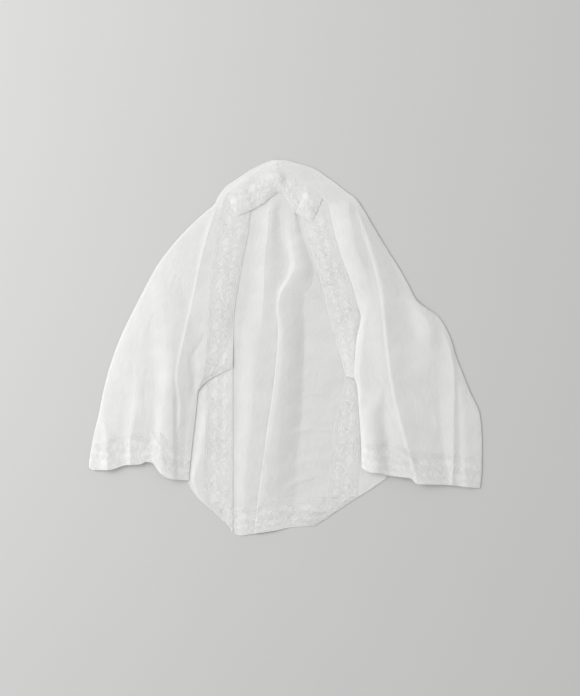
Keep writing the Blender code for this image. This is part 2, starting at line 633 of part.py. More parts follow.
def make_left_side(left):
    """Make the left front with its sleeve, its cuff front and its upper lace band."""
    band = curve(BAND_LEFT_INNER)
    tuck_x, tuck_y = LEFT_TUCK[0]
    counts = (2, 3, 4, 2, 2, 2, 3, 2, 4)

    def columns(y):
        """Return the sleeve's and the band's columns at one Y."""
        names = (("outer", 0), ("spine", 0), ("shelf", 0), ("drop", 0), ("ridge", -5), ("ridge", 0),
                 ("groove", 0))
        stops = [left.outer(y)] + [left.guide(name, y, shift) for name, shift in names] + [left.inner(y)]
        stops = spread(stops, counts[:-1]) + [max(band(y), left.inner(y) + BAND_LEAST)]
        return [(x, left.height(x, y), False) for x in between(stops, counts)]

    def tucked(y):
        """Return a row line that bends towards the tuck's edge as it comes down."""
        share = smooth_step(TUCK_BEND_FROM, tuck_y, y)
        return lambda x: y + share * max(left.tuck(x) - tuck_y, 0.0) if x > tuck_x else y

    rows = [level(row.y) for row in LEFT_EDGES if row.y > TUCK_BEND_FROM]
    rows += [tucked(y) for y in TUCKED_ROWS]
    tuck_row = len(rows) - 1
    rows += blended(level(tuck_y), left.cuff_seam, 3, True)
    cuff_row = len(rows) - 1
    rows += blended(left.cuff_seam, left.cuff_end, 2, True)
    grid = lay(rows, columns)
    seam = sum(counts[:-1])
    band_top = sum(row.y >= BAND_LEFT_INNER[0][0] for row in LEFT_EDGES)
    strip("front_left_with_sleeve", grid, (0, cuff_row), (0, seam), ("bottom", "last"), GAUZE)
    strip("cuff_lace_left_front", grid, (cuff_row, len(rows) - 1), (0, seam), ("top",), LACE)
    strip("front_lace_left_upper", grid, (band_top, tuck_row), (seam, sum(counts)), ("first",), LACE)


def make_right_side(right):
    """Make the right front with its sleeve and its cuff front."""
    counts = (2, 2, 3, 2, 2, 2, 2, 2, 2, 2)
    last_level = -66

    def columns(y):
        """Return the sleeve's columns at one Y."""
        names = (("inner", 0), ("cone", 0), ("drape", -5), ("drape", 0), ("drape", 12),
                 ("soft", 0), ("far", -9), ("far", 0), ("last", 0))
        stops = [right.inner(y)] + [right.guide(name, y, shift) for name, shift in names] + [right.outer(y)]
        return [(x, right.height(x, y), False) for x in between(spread(stops, counts), counts)]

    rows = [level(row.y) for row in RIGHT_EDGES if row.y >= last_level]
    rows += blended(level(last_level), right.cuff_seam, 3, True)
    cuff_row = len(rows) - 1
    rows += blended(right.cuff_seam, right.cuff_end, 2, True)
    grid = lay(rows, columns)
    strip("front_right_with_sleeve", grid, (0, cuff_row), (0, sum(counts)), ("bottom", "first"), GAUZE)
    strip("cuff_lace_right_front", grid, (cuff_row, len(rows) - 1), (0, sum(counts)), ("top",), LACE)


def make_right_upper_band(right):
    """Make the right front's upper lace band, which runs under the sleeve fold."""
    inner, swell = curve(BAND_RIGHT_INNER), curve(BAND_SWELL)
    top_y, end_x = BAND_RIGHT_INNER[0][0], BAND_RIGHT_INNER[-1][1]
    steps = 4

    def columns(y):
        """Return the band's columns at one Y."""
        hidden = BAND_HIDDEN * (1.0 - smooth_step(*BAND_HIDES_BETWEEN, y))
        lap = LAYER * (1.0 - smooth_step(*BAND_LAPS_BETWEEN, y))
        at = min(max(y, BAND_SEAM_END), BAND_SEAM_START)
        seam = right.height(right.inner(at), at) - WALL / 2.0 - LAYER
        made = []
        for x in between((inner(y), right.inner(y) + hidden), (steps,)):
            share = smooth_step(inner(y), right.inner(y), x)
            made.append((x, WALL / 2.0 + LAYER + lap + seam * share + swell(y) * (1.0 - share), False))
        return made

    rows = [level(row.y) for row in RIGHT_EDGES if BAND_END_Y < row.y < top_y]
    rows += [lambda x: BAND_END_Y + BAND_END_SLOPE * (x - end_x)]
    grid = lay(rows, columns)
    strip("front_lace_right_upper", grid, (0, len(rows) - 1), (0, steps), ("last",), LACE)


def make_lower_left():
    """Make what shows of the left front below its tuck, with its lace band and its soft fold."""
    fold, seam, rolled = curve(LOWER_LEFT_HIDDEN), curve(LOWER_LEFT_SEAM), FoldLine(LOWER_FOLD)
    counts = (4, 5)

    def columns(y):
        """Return the columns at one Y, from the hidden fold to the band's edge."""
        stops = (fold(y), max(seam(y), fold(y) + FOLD_MARGIN), LOWER_LEFT_INNER)
        return [(x, WALL / 2.0 + LAYER + rolled.rise(x, y), False) for x in between(stops, counts)]

    rows = [curve([(x, y + TUCK_LAP) for x, y in LEFT_TUCK])] + [level(y) for y in LOWER_LEFT_ROWS]
    grid = lay(rows, columns)
    strip("front_left_lower", grid, (0, LOWER_GAUZE_ROWS), (0, counts[0]), ("last",), GAUZE)
    strip("front_lace_left_lower", grid, (0, len(rows) - 1), (counts[0], sum(counts)), ("first",), LACE)


def make_lower_right():
    """Make what shows of the right front below its sleeve fold, with its lace band."""
    inner, seam, fold = (curve(line) for line in (LOWER_RIGHT_INNER, LOWER_RIGHT_SEAM, LOWER_RIGHT_HIDDEN))
    counts = (3, 2)

    def columns(y):
        """Return the columns at one Y, from the band's edge to the hidden fold."""
        stops = (inner(y), min(seam(y), fold(y) - FOLD_MARGIN), fold(y))
        return [(x, WALL / 2.0 + LAYER, False) for x in between(stops, counts)]

    rows = [level(y) for y in LOWER_RIGHT_ROWS]
    grid = lay(rows, columns)
    strip("front_right_lower", grid, (0, LOWER_GAUZE_ROWS), (counts[0], sum(counts)), ("first",), GAUZE)
    strip("front_lace_right_lower", grid, (0, len(rows) - 1), (0, counts[0]), ("last",), LACE)


class Back:
    """The back with its sleeve halves, a soft roll and a lapped pleat."""

    def __init__(self, left, right):
        self.left, self.right = left, right
        self.roll = {name: column(BACK_ROLL, name) for name in Roll._fields[1:]}
        self.pleat = {name: column(BACK_PLEAT, name) for name in Pleat._fields[1:]}
        self.body_left = curve(BODY_LEFT)
        self.body_right = curve(BODY_RIGHT)
        self.fall_end = curve(FALL_END)
        self.swell = curve(BAND_SWELL)
        self.band_right = curve(BAND_RIGHT_INNER + LOWER_RIGHT_INNER[2:])

    def fade(self, y):
        """Return how much of a fold shows at one Y, none of it under the collar."""
        return 1.0 - smooth_step(*FADE_BETWEEN, y)

    def roll_columns(self, y, pleat_x):
        """Return the columns from the body's left edge over the roll to the pleat."""
        crest, height, left, shelf = (read(y) for read in self.roll.values())
        keen = smooth_step(*KEEN_BETWEEN, y)
        made = []
        for x in between((self.body_left(y), crest - left, crest), FLANK_COLUMNS)[1:]:
            share = min(max((crest - x) / left, 0.0), 1.0)
            side = come_down(Slope.SOFT, share) * (1.0 - keen) + come_down(Slope.KEEN, share) * keen
            made.append((x, height * side, False))
        for k, x in enumerate(between((crest, pleat_x), (SHELF_COLUMNS,))[1:-1]):
            ease = smooth_step(SHELF_STARTS, 1.0, (k + 1) / SHELF_COLUMNS)
            made.append((x, height * (1.0 - ease) + shelf * ease, False))
        return made

    def pleat_columns(self, y):
        """Return the columns round the pleat, open near the neck and lapped at the hem."""
        edge, lap, flank, crest = (read(y) for read in self.pleat.values())
        flank, crest = max(flank, PLEAT_LEAST_FLANK), crest * self.fade(y)
        folded = smooth_step(*PLEAT_LAPS_BETWEEN, lap)
        top = PLEAT_STOPS[-1]
        open_crest = max(crest, top.level * PLEAT_LEVEL * smooth_step(*PLEAT_RISES_BETWEEN, lap))
        made = []
        for stop in PLEAT_STOPS:
            lapped_x = stop.lap_share * max(lap, PLEAT_LEAST_LAP) + stop.folded_x
            x = (1.0 - folded) * stop.open_x * flank + folded * lapped_x
            high = stop.level * PLEAT_LEVEL
            if stop.level == top.level:
                high += crest * stop.folded_x / top.folded_x
            rise = (1.0 - folded) * open_crest * stop.open_rise + folded * high
            made.append((edge + x, self.roll["shelf"](y) + rise, y < PLEAT_TURNS_FROM))
        return made

    def falling_columns(self, y, last_x, last_rise):
        """Return the columns from the pleat's crest down to the body's right edge."""
        swell = self.swell(y)
        lapped = self.pleat["x"](y) + max(self.pleat["lap"](y), 0.0) + PLEAT_HOLD
        held = max(lapped, last_x + HELD_LEAST)
        end = max(min(self.fall_end(y), self.band_right(y) - BAND_CLEAR), held + FALL_LEAST)
        made = [(x, last_rise, False) for x in between((last_x, held), (HELD_COLUMNS,))[1:]]
        for k, x in enumerate(between((held, end), (FALL_COLUMNS,))[1:]):
            left_of_it = come_down(Slope.ROUND, (k + 1) / FALL_COLUMNS)
            made.append((x, swell + (last_rise - swell) * left_of_it, False))
        for k, x in enumerate(between((end, self.body_right(y)), (RIGHT_COLUMNS,))[1:]):
            away = smooth_step(0.0, SWELL_SHARE, (k + 1) / RIGHT_COLUMNS)
            made.append((x, swell * (1.0 - away), False))
        return made

    def columns(self, y):
        """Return every column of the back at one Y."""
        at = min(y, FOLDS_BEGIN)
        held = (self.left.outer(at), self.right.outer(at))
        pleat = self.pleat_columns(at)
        made = [(x, 0.0, False) for x in between((held[0], self.body_left(at)), (SLEEVE_COLUMNS,))]
        made += self.roll_columns(at, pleat[0][0]) + pleat
        made += self.falling_columns(at, *pleat[-1][:2])
        made += [(x, 0.0, False) for x in between((self.body_right(at), held[1]), (SLEEVE_COLUMNS,))[1:]]
        if y <= FOLDS_BEGIN:
            return [(x, WALL / 2.0 + rise, turned) for x, rise, turned in made]
        outer = (self.left.outer(y), self.right.outer(y))
        scale = (outer[1] - outer[0]) / (held[1] - held[0])
        return [(outer[0] + (x - held[0]) * scale, WALL / 2.0 + rise * self.fade(y), False)
                for x, rise, _ in made]


def make_back(left, right):
    """Make the back and the hem band from one grid.

    Returns:
        The grid, and the row where the sleeve halves end.
    """
    hem_seam, hem_end = curve(HEM_SEAM), curve(HEM_END)
    left_line = [(x, y + CUFF_SEAM_LIFT) for x, y in LEFT_CUFF_SEAM if x < BACK_CORNER_LEFT[0]]
    right_line = [(x, y + CUFF_SEAM_LIFT) for x, y in RIGHT_CUFF_SEAM if x > RIGHT_SEAM_FROM]
    across = curve(left_line + [BACK_CORNER_LEFT, BACK_CORNER_RIGHT] + right_line)
    rows = [level(y) for y in BACK_ROWS] + blended(level(BACK_ROWS[-1]), across, 2, True)
    sleeve_row = len(rows) - 1
    body = level(BODY_ROWS[0])
    rows += blended(across, body, 1, False) + [level(y) for y in BODY_ROWS] + [hem_seam]
    seam_row = len(rows) - 1
    rows += blended(hem_seam, hem_end, 2, True)
    grid = lay(rows, Back(left, right).columns)
    last = len(grid[0]) - 1
    first_body, last_body = SLEEVE_COLUMNS, last - SLEEVE_COLUMNS
    cells = block((0, sleeve_row), (0, last)) + block((sleeve_row, seam_row), (first_body, last_body))
    draws = seam_draws((0, sleeve_row), (0, first_body - 1), ("bottom",))
    draws.update(seam_draws((0, sleeve_row), (last_body + 1, last), ("bottom",)))
    draws.update(seam_draws((0, seam_row), (first_body, last_body), ("bottom",)))
    piece("back_with_sleeves", grid, cells, draws, GAUZE)
    strip("hem_lace", grid, (seam_row, len(rows) - 1), (first_body, last_body), ("top",), LACE)
    return grid, sleeve_row


def make_cuff_backs(left, right, grid, sleeve_row):
    """Make the cuffs' back halves, just inside the fronts' ends."""
    last = len(grid[0]) - 1
    for name, side, line_end, first, inner_line, outer_sign in (
        ("left", left, LEFT_CUFF_END, 0, curve(BODY_LEFT), 1.0),
        ("right", right, RIGHT_CUFF_END, last - SLEEVE_COLUMNS, curve(BODY_RIGHT), -1.0),
    ):
        seam = [grid[sleeve_row][c][0] for c in range(first, first + SLEEVE_COLUMNS + 1)]
        seam_line = curve([(point.x, point.y) for point in seam])
        finish = curve([(x, y + CUFF_BACK_SHORT) for x, y in line_end])

        def columns(y, side=side, inner_line=inner_line, outer_sign=outer_sign):
            """Return the cuff back's columns at one Y."""
            ends = sorted((side.outer(y), inner_line(y) - outer_sign * CUFF_BACK_CLEAR))
            return [(x, WALL / 2.0, False) for x in between(ends, (SLEEVE_COLUMNS,))]

        lines = [seam_line] + blended(seam_line, finish, 2, True)
        cuff = lay(lines, columns)
        body_column = SLEEVE_COLUMNS if outer_sign > 0.0 else 0
        for c, point in enumerate(seam):
            if c != body_column:
                cuff[0][c] = (point, cuff[0][c][1])
        strip(f"cuff_lace_{name}_back", cuff, (0, len(lines) - 1), (0, SLEEVE_COLUMNS), ("top",), LACE)


def make_collar(left, right):
    """Make the lace collar, sewn along the turned-over neck and folded at the centre back."""
    sections = [(left, row) for row in LEFT_COLLAR] + [(right, row) for row in RIGHT_COLLAR]
    grid = []
    for side, row in sections:
        x = side.inner(row.seam_y)
        seam = Vector((x, row.seam_y, side.height(x, row.seam_y)))
        edge = Vector((row.edge_x, row.edge_y, row.edge_z))
        line = []
        for k in range(COLLAR_STEPS + 1):
            share = k / COLLAR_STEPS
            point = seam.lerp(edge, share)
            straight = (1.0 - share) * seam.z + share * edge.z
            arch = 4.0 * share * (1.0 - share)
            point.z = straight + arch * (row.middle_z - (seam.z + edge.z) / 2.0)
            line.append((point, False))
        grid.append(line)
    strip("collar_lace", walled(grid), (0, len(grid) - 1), (0, COLLAR_STEPS), ("first",), LACE)


def main():
    """Clear the scene and make every piece."""
    for left_over in list(bpy.data.objects):
        bpy.data.objects.remove(left_over, do_unlink=True)
    left = LeftSide(LEFT_EDGES, LEFT_FOLDS, LEFT_PUFF, LEFT_NECK_RISE, LEFT_CUFF_SEAM, LEFT_CUFF_END)
    right = RightSide(RIGHT_EDGES, RIGHT_FOLDS, RIGHT_PUFF, RIGHT_NECK_RISE, RIGHT_CUFF_SEAM, RIGHT_CUFF_END)
    make_left_side(left)
    make_right_side(right)
    make_right_upper_band(right)
    make_lower_left()
    make_lower_right()
    make_cuff_backs(left, right, *make_back(left, right))
    make_collar(left, right)


if __name__ == "__main__":
    main()
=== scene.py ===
"""Sheer gauze bolero with lace bands, laid flat on a pale table with its fronts open.

Sizes are in millimetres until a mesh is made. X runs across the garment, Y from the
hem up to the neck and Z up from the table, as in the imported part. Each table has a
row for a section, and each fold has a row for every section where it changes.
"""

import logging
import math
from dataclasses import dataclass
from enum import Enum
from typing import Callable, Dict, List, NamedTuple, Optional, Sequence, Tuple, TypeVar, Union

import bmesh
import bpy
import numpy as np
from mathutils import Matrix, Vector


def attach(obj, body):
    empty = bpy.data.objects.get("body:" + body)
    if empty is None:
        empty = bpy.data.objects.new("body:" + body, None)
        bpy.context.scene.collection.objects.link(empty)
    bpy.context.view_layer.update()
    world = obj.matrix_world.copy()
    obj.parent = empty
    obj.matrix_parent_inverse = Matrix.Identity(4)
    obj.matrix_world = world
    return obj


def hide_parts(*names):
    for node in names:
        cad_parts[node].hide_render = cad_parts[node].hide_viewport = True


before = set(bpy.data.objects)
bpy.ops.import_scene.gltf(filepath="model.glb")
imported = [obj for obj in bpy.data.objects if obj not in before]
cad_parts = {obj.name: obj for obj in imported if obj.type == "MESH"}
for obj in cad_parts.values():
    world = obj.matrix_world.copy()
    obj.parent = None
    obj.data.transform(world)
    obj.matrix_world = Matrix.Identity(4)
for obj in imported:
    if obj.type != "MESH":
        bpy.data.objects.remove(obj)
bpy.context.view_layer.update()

log = logging.getLogger("bolero")

Array = np.ndarray
Colour = Tuple[float, float, float, float]
Knots = Sequence[Tuple[float, float]]
Line = Callable[[Array], Array]
Material = bpy.types.Material
Row = TypeVar("Row")

MM = 0.001

# The solids' wall and the gap between their layers, the height of the middle of the back's and
# the fronts' walls, and the thin cloth itself.
WALL = 1.2
GAP = 0.3
LAYER = WALL + GAP
BACK_Z = WALL / 2.0
FRONT_Z = BACK_Z + LAYER
GAUZE_THICKNESS = 0.35
LACE_THICKNESS = 0.3

# The sections that columns are worked out at, and how grids are laid through them.
SECTION_STEP = 0.5
SECTIONS = np.arange(-320.0, 320.0, SECTION_STEP)
LAY_ROUNDS = 24
LEAST_STEP = 1.6
CUFF_FINER = 3

# Where folds begin below the neck, how their sides come down, and how creases end.
NECK_TOP = 300.0
FOLDS_BEGIN = 217.0
FOLDS_EASE = 30.0
EVEN_POWER = 1.25
ROUND_POWER = 1.3
EDGE_PUFF_REACH = 18.0
SHIFT_WIDTH = 60.0
CREASE_ENDS = 0.25
CREASE_STEPS = 4

# The back's roll, shelf and pleat, and what it shows under the collar.
KEEN_BETWEEN = (0.0, 90.0)
FADE_BETWEEN = (214.0, 250.0)
SHELF_STARTS = 0.2
PLEAT_LEVEL = 0.8
PLEAT_LAPS_BETWEEN = (2.0, 8.0)
PLEAT_LEAST_FLANK = 0.35
PLEAT_LEAST_LAP = 7.0
PLEAT_HOLD = 4.0
SWELL_SHARE = 0.85

# The front bands.
BAND_LEAST = 40.0
BAND_CLEAR = 5.0
BAND_HIDDEN = 9.0
BAND_HIDES_BETWEEN = (20.0, 48.0)
BAND_LAPS_BETWEEN = (-28.0, 5.0)
BAND_SEAM_END = 90.0
BAND_SEAM_START = 226.0
BAND_END = (96.0, -44.0)
BAND_END_SLOPE = -0.35
BAND_END_LENGTH = 3.8
LOWER_LEFT_INNER = -84.0
FOLD_MARGIN = 1.2

# The tuck over the lower left front, and what the fronts lie on.
TUCK_START = (-140.0, -69.0)
TUCK_BEND_FROM = 75.0
TUCK_LAP = 12.0
TUCK_STACK = (18.0, 55.0)
LEFT_STACK_EDGE = (-235.0, -190.0)
RIGHT_STACK_TOP = (50.0, 90.0)
RIGHT_STACK_EDGE = (138.0, 214.0)
RIGHT_CORNER = (-150.0, -100.0)
RIGHT_CORNER_SHIFT = 32.0

# The back's corners below the sleeves, and the cuffs' back halves.
BACK_CORNER_LEFT = (-158, -158)
BACK_CORNER_RIGHT = (137, -150)
RIGHT_SEAM_FROM = 150
BACK_SEAM_IN = 1.0
CUFF_BACK_SHORT = 3.0
CUFF_BACK_CLEAR = 1.5

# How far the thin cloth's edges settle, and over what width.
ROLL_IN = 4.0
ROLL_DROP = 0.5
INNER_IN = 10.0
INNER_DROP = 0.8
BAND_IN = 24.0
BAND_DROP = 1.08
LOWER_DROP = 0.9
TUCK_DROP = 0.4
TUCK_SINK = 1.1
TUCK_SINKS_BETWEEN = (-132.0, -100.0)
EDGE_DROP = 1.3
EDGE_IN = 0.7
START_DROP = 0.7
START_IN = 1.2
END_DROP = 1.9
END_IN = 1.8
ENDS_BEGIN = 0.4

# The lace's ruffle, as waves of a pitch, a seed and a share, its rows of sewing, and the angle
# below which the cloth is shaded smooth.
RUFFLES = ((17.0, 0.7, 1.0), (9.0, 2.1, 0.6))
RUFFLE_HEIGHT = 0.05
RUFFLE_LIFT = 0.6
RUFFLE_IN = 9.0
SEWING_INSETS = (1.2, 3.9)
SMOOTH_BELOW = math.radians(50.0)


class Cloth(Enum):
    """Which cloth a panel is cut from."""

    GAUZE = "gauze"
    LACE = "lace"


class Slope(Enum):
    """How one side of a fold comes down from its crest."""

    SOFT = "eased at its crest and its foot"
    KEEN = "steepest beside a sharp crest"
    EVEN = "straight down"
    ROUND = "steepest at its foot"


class Run(Enum):
    """Which way a lace band runs on its grid."""

    DOWN = "down the rows"
    ACROSS = "across the columns"


class Edge(NamedTuple):
    """One section of a front: its outer fold and its inner seam or fold."""

    y: float
    outer: float
    inner: float


class Fold(NamedTuple):
    """One section of a fold: its crest, its height and its width on each side."""

    y: float
    x: float
    height: float
    left: float
    right: float


class Roll(NamedTuple):
    """One section of the back roll: its crest, its left foot and the shelf to its right."""

    y: float
    x: float
    height: float
    left: float
    shelf: float


class Pleat(NamedTuple):
    """One section of the back pleat: its edge, its lap, its flank's share and its crest height."""

    y: float
    x: float
    lap: float
    flank: float
    crest: float


class FoldRows(NamedTuple):
    """One fold's table, with how each of its sides comes down."""

    left_slope: Slope
    right_slope: Slope
    rows: Tuple[Fold, ...]


class PleatStop(NamedTuple):
    """One point round the pleat: where it lies when open, and when folded over."""

    open_x: float
    open_rise: float
    lap_share: float
    folded_x: float
    level: float


class CollarSection(NamedTuple):
    """One section of the collar: its seam's Y, its free edge and its heights."""

    seam_y: float
    edge_x: float
    edge_y: float
    middle_z: float
    edge_z: float


class Crease(NamedTuple):
    """A small ridge (or trough, below 0) along a path of two or three points."""

    path: Tuple[Tuple[float, float], ...]
    height: float
    left: float
    right: float


class Cut(NamedTuple):
    """A panel's node, flat size in metres and cut area, what it lies on and how its lace runs."""

    node: str
    width: float
    length: float
    area: float
    rests_on: Tuple[str, ...] = ("back_gauze",)
    run: Run = Run.DOWN
    ruffled: bool = True


def table(kind: Callable[..., Row], *rows: Sequence[object]) -> Tuple[Row, ...]:
    """Return a table whose rows are all of one kind."""
    return tuple(kind(*row) for row in rows)


def fold(left_slope: Slope, right_slope: Slope, *rows: Sequence[float]) -> FoldRows:
    """Return one fold's table, from how its sides come down and its sections."""
    return FoldRows(left_slope, right_slope, table(Fold, *rows))


def cotton(lightness: float, yellow: float) -> Colour:
    """Return the colour of white cotton, which is a little short of blue."""
    return (lightness, lightness, lightness - yellow, 1.0)


CUTS = {
    "back_gauze": Cut("back_with_sleeves", 0.62, 0.56, 0.235, ()),
    "hem_lace": Cut("hem_lace", 0.27, 0.05, 0.0125, (), Run.ACROSS),
    "left_cuff_back_lace": Cut("cuff_lace_left_back", 0.16, 0.05, 0.0078, (), Run.ACROSS, False),
    "right_cuff_back_lace": Cut("cuff_lace_right_back", 0.16, 0.05, 0.0078, (), Run.ACROSS, False),
    "left_front_gauze": Cut("front_left_with_sleeve", 0.16, 0.46, 0.048),
    "left_cuff_lace": Cut("cuff_lace_left_front", 0.19, 0.05, 0.0085, ("left_cuff_back_lace",), Run.ACROSS),
    "left_front_lace": Cut("front_lace_left_upper", 0.05, 0.28, 0.0135),
    "right_front_gauze": Cut("front_right_with_sleeve", 0.2, 0.47, 0.06),
    "right_cuff_lace": Cut("cuff_lace_right_front", 0.22, 0.05, 0.0105, ("right_cuff_back_lace",),
                          Run.ACROSS),
    "right_front_lace": Cut("front_lace_right_upper", 0.05, 0.29, 0.0125),
    "left_lower_gauze": Cut("front_left_lower", 0.03, 0.2, 0.0045),
    "left_lower_lace": Cut("front_lace_left_lower", 0.046, 0.26, 0.0105),
    "right_lower_gauze": Cut("front_right_lower", 0.045, 0.2, 0.0045),
    "right_lower_lace": Cut("front_lace_right_lower", 0.05, 0.24, 0.0095),
    "collar_lace": Cut("collar_lace", 0.16, 0.05, 0.0075, ("left_front_gauze",), Run.ACROSS),
}

# The fronts' edges, the cuffs', the tuck's and the hem's, which part.py has as well.
LEFT_EDGES = table(
    Edge,
    (300, -22, -12), (296, -33, -12), (291, -44, -13), (285, -55, -34), (279, -64, -44), (273, -73, -53),
    (266, -84, -63), (259, -94, -73), (251, -101, -83), (243, -107, -94), (230, -113, -100),
    (217, -128, -105), (190, -157, -109), (160, -184, -113), (130, -206, -118), (95, -225, -121),
    (60, -243, -123), (25, -260, -126), (-10, -274, -128), (-45, -285, -132), (-69, -291, -140),
    (-100, -297, -143), (-152, -309, -149), (-191, -314, -153), (-215, -314, -155),
)
RIGHT_EDGES = table(
    Edge,
    (300, 2, -12), (296, 15, -12), (291, 34, -12), (286, 47, -4), (281, 56, 4), (274, 65, 12),
    (268, 74, 20), (262, 82, 30), (257, 88, 38), (248, 100, 48), (239, 112, 59), (227, 121, 68),
    (195, 140, 75), (160, 161, 85), (130, 180, 95), (102, 196, 106), (76, 210, 113), (48, 246, 120),
    (15, 264, 114), (-15, 273, 111), (-40, 283, 110), (-66, 293, 115), (-109, 311, 118), (-150, 314, 121),
    (-190, 314, 122), (-225, 311, 123),
)
LEFT_CUFF_SEAM = (
    (-309, -152), (-290, -151), (-270, -139), (-249, -136), (-226, -135), (-202, -132), (-182, -152),
    (-149, -159),
)
LEFT_CUFF_END = (
    (-314, -191), (-307, -195), (-283, -195), (-253, -187), (-233, -186), (-222, -182), (-214, -183),
    (-200, -199), (-190, -206), (-177, -210), (-155, -212),
)
RIGHT_CUFF_SEAM = (
    (121, -149), (145, -149), (179, -154), (201, -163), (235, -167), (273, -168), (313, -173),
)
RIGHT_CUFF_END = (
    (122, -191), (133, -198), (153, -200), (167, -204), (199, -208), (211, -217), (261, -219), (294, -223),
    (311, -224),
)
LEFT_TUCK = ((-140, -69), (-132, -59), (-120, -49), (-105, -42), (-84, -32))
HEM_SEAM = ((-126, -254), (-83, -255), (-47, -256), (-34, -245), (0, -239), (66, -239), (116, -239))
HEM_END = ((-90, -286), (-82, -297), (-72, -300), (-50, -297), (-16, -292), (10, -287), (46, -285))

# The folds of both fronts, of the back and of the lower left front.
LEFT_FOLDS = {
    "outer": fold(Slope.SOFT, Slope.KEEN,
        (217, -125, 0, 6, 8), (60, -226, 0, 14, 20), (-57, -277, 0, 14, 16), (-100, -290, 0.4, 14, 14),
        (-131, -285, 1.4, 14, 18), (-155, -283, 3.0, 16, 24), (-195, -283, 3.6, 16, 26)),
    "spine": fold(Slope.KEEN, Slope.EVEN,
        (217, -123, 0, 6, 8), (190, -145, 0, 6, 8), (130, -190, 0, 14, 14), (60, -216, 0, 14, 14),
        (-10, -238, 0.2, 16, 24), (-51, -237, 1.3, 16, 32), (-89, -237, 2.7, 19, 38),
        (-115, -242, 3.2, 20, 38), (-133, -245, 3.0, 18, 36), (-148, -248, 2.8, 11, 32),
        (-195, -248, 2.6, 9, 28)),
    "shelf": fold(Slope.SOFT, Slope.ROUND,
        (217, -120, 0, 6, 8), (130, -176, 0, 14, 12), (100, -192, 1.0, 24, 24), (77, -193, 2.0, 28, 34),
        (13, -188, 3.4, 30, 44), (-51, -184, 3.8, 26, 40), (-85, -190, 3.4, 22, 38),
        (-115, -194, 3.3, 18, 40), (-150, -197, 4.0, 17, 38), (-171, -197, 4.4, 18, 36),
        (-205, -197, 4.6, 18, 36)),
    "drop": fold(Slope.SOFT, Slope.SOFT,
        (217, -115, 0, 8, 4), (100, -184, 0, 20, 5), (77, -182, 0, 24, 5), (13, -181, 0.2, 26, 6),
        (-51, -181, 0.9, 26, 8), (-115, -181, 1.6, 26, 9), (-171, -181, 1.6, 24, 11),
        (-205, -181, 1.6, 24, 11)),
    "ridge": fold(Slope.KEEN, Slope.EVEN,
        (217, -113, 0.7, 8, 7), (190, -122, 1.1, 8, 16), (141, -135, 1.0, 6, 18), (77, -148, 1.1, 6, 20),
        (13, -162, 1.1, 6, 22), (-30, -171, 0.8, 5, 20), (-51, -173, 0.7, 4, 16), (-89, -168, 0.7, 5, 10),
        (-115, -168, 0.7, 5, 9), (-140, -174, 0, 5, 7), (-205, -172, 0, 5, 7)),
    "groove": fold(Slope.SOFT, Slope.SOFT,
        (217, -107, 0, 6, 4), (45, -121, 0, 6, 6), (13, -133, -0.5, 6, 9), (-18, -149, -0.8, 9, 12),
        (-53, -146, -0.8, 9, 12), (-80, -148, -0.4, 9, 8), (-110, -150, 0, 9, 8), (-205, -158, 0, 7, 7)),
}
RIGHT_FOLDS = {
    "inner": fold(Slope.EVEN, Slope.EVEN,
        (217, 101, 2.6, 40, 20), (190, 107, 3.8, 56, 34), (155, 113, 4.6, 60, 48), (124, 127, 4.6, 62, 50),
        (92, 136, 4.0, 56, 46), (28, 126, 3.2, 40, 48), (-35, 119, 3.0, 24, 50), (-75, 119, 2.6, 18, 44),
        (-115, 120, 1.8, 12, 26), (-200, 123, 0.8, 8, 16)),
    "cone": fold(Slope.ROUND, Slope.SOFT,
        (217, 107, 0, 8, 6), (100, 141, 0, 8, 8), (-60, 152, 0, 14, 8), (-85, 147, 2.4, 18, 14),
        (-115, 141, 4.2, 21, 22), (-150, 141, 5.6, 22, 25), (-179, 142, 6.2, 22, 26),
        (-205, 142, 6.4, 22, 26)),
    "mound": fold(Slope.SOFT, Slope.ROUND,
        (217, 116, 0, 8, 10), (141, 144, 0.8, 14, 26), (93, 156, 2.6, 24, 38), (28, 162, 4.2, 34, 42),
        (-35, 169, 5.6, 42, 78), (-115, 185, 5.8, 38, 64), (-179, 204, 5.8, 42, 52),
        (-205, 211, 5.8, 44, 50)),
    "drape": fold(Slope.SOFT, Slope.EVEN,
        (217, 117, 0.6, 6, 10), (181, 131, 1.2, 8, 20), (141, 144, 1.5, 9, 26), (93, 155, 1.4, 8, 26),
        (28, 161, 1.5, 6, 26), (-35, 168, 1.6, 6, 28), (-115, 184, 1.6, 6, 28), (-179, 203, 1.6, 8, 28),
        (-205, 210, 1.6, 8, 28)),
    "soft": fold(Slope.SOFT, Slope.SOFT,
        (217, 120, 0, 6, 6), (90, 192, 0, 12, 10), (69, 212, 1.8, 24, 18), (28, 229, 3.2, 28, 24),
        (-3, 228, 1.8, 26, 24), (-40, 228, 0.4, 22, 22), (-60, 232, 0, 20, 20), (-205, 242, 0, 14, 14)),
    "far": fold(Slope.KEEN, Slope.KEEN,
        (217, 122, 0, 5, 5), (60, 222, 0, 10, 8), (15, 257, 0.6, 12, 8), (-15, 266, 1.6, 16, 8),
        (-53, 270, 2.2, 20, 12), (-115, 269, 2.2, 26, 12), (-179, 268, 2.2, 18, 12),
        (-216, 266, 2.2, 18, 12)),
    "last": fold(Slope.SOFT, Slope.SOFT,
        (217, 124, 0, 4, 4), (60, 226, 0, 6, 6), (15, 259, 0, 6, 5), (-46, 276, 0.3, 6, 10),
        (-76, 282, 0.9, 8, 14), (-117, 285, 1.3, 10, 18), (-158, 287, 1.1, 9, 18), (-216, 289, 1.0, 9, 16)),
}
LEFT_PUFF = (
    (300, 1.8), (217, 2.2), (141, 3.2), (77, 4.8), (13, 5.6), (-51, 5.4), (-115, 4.8), (-171, 4.4),
    (-205, 4.2),
)
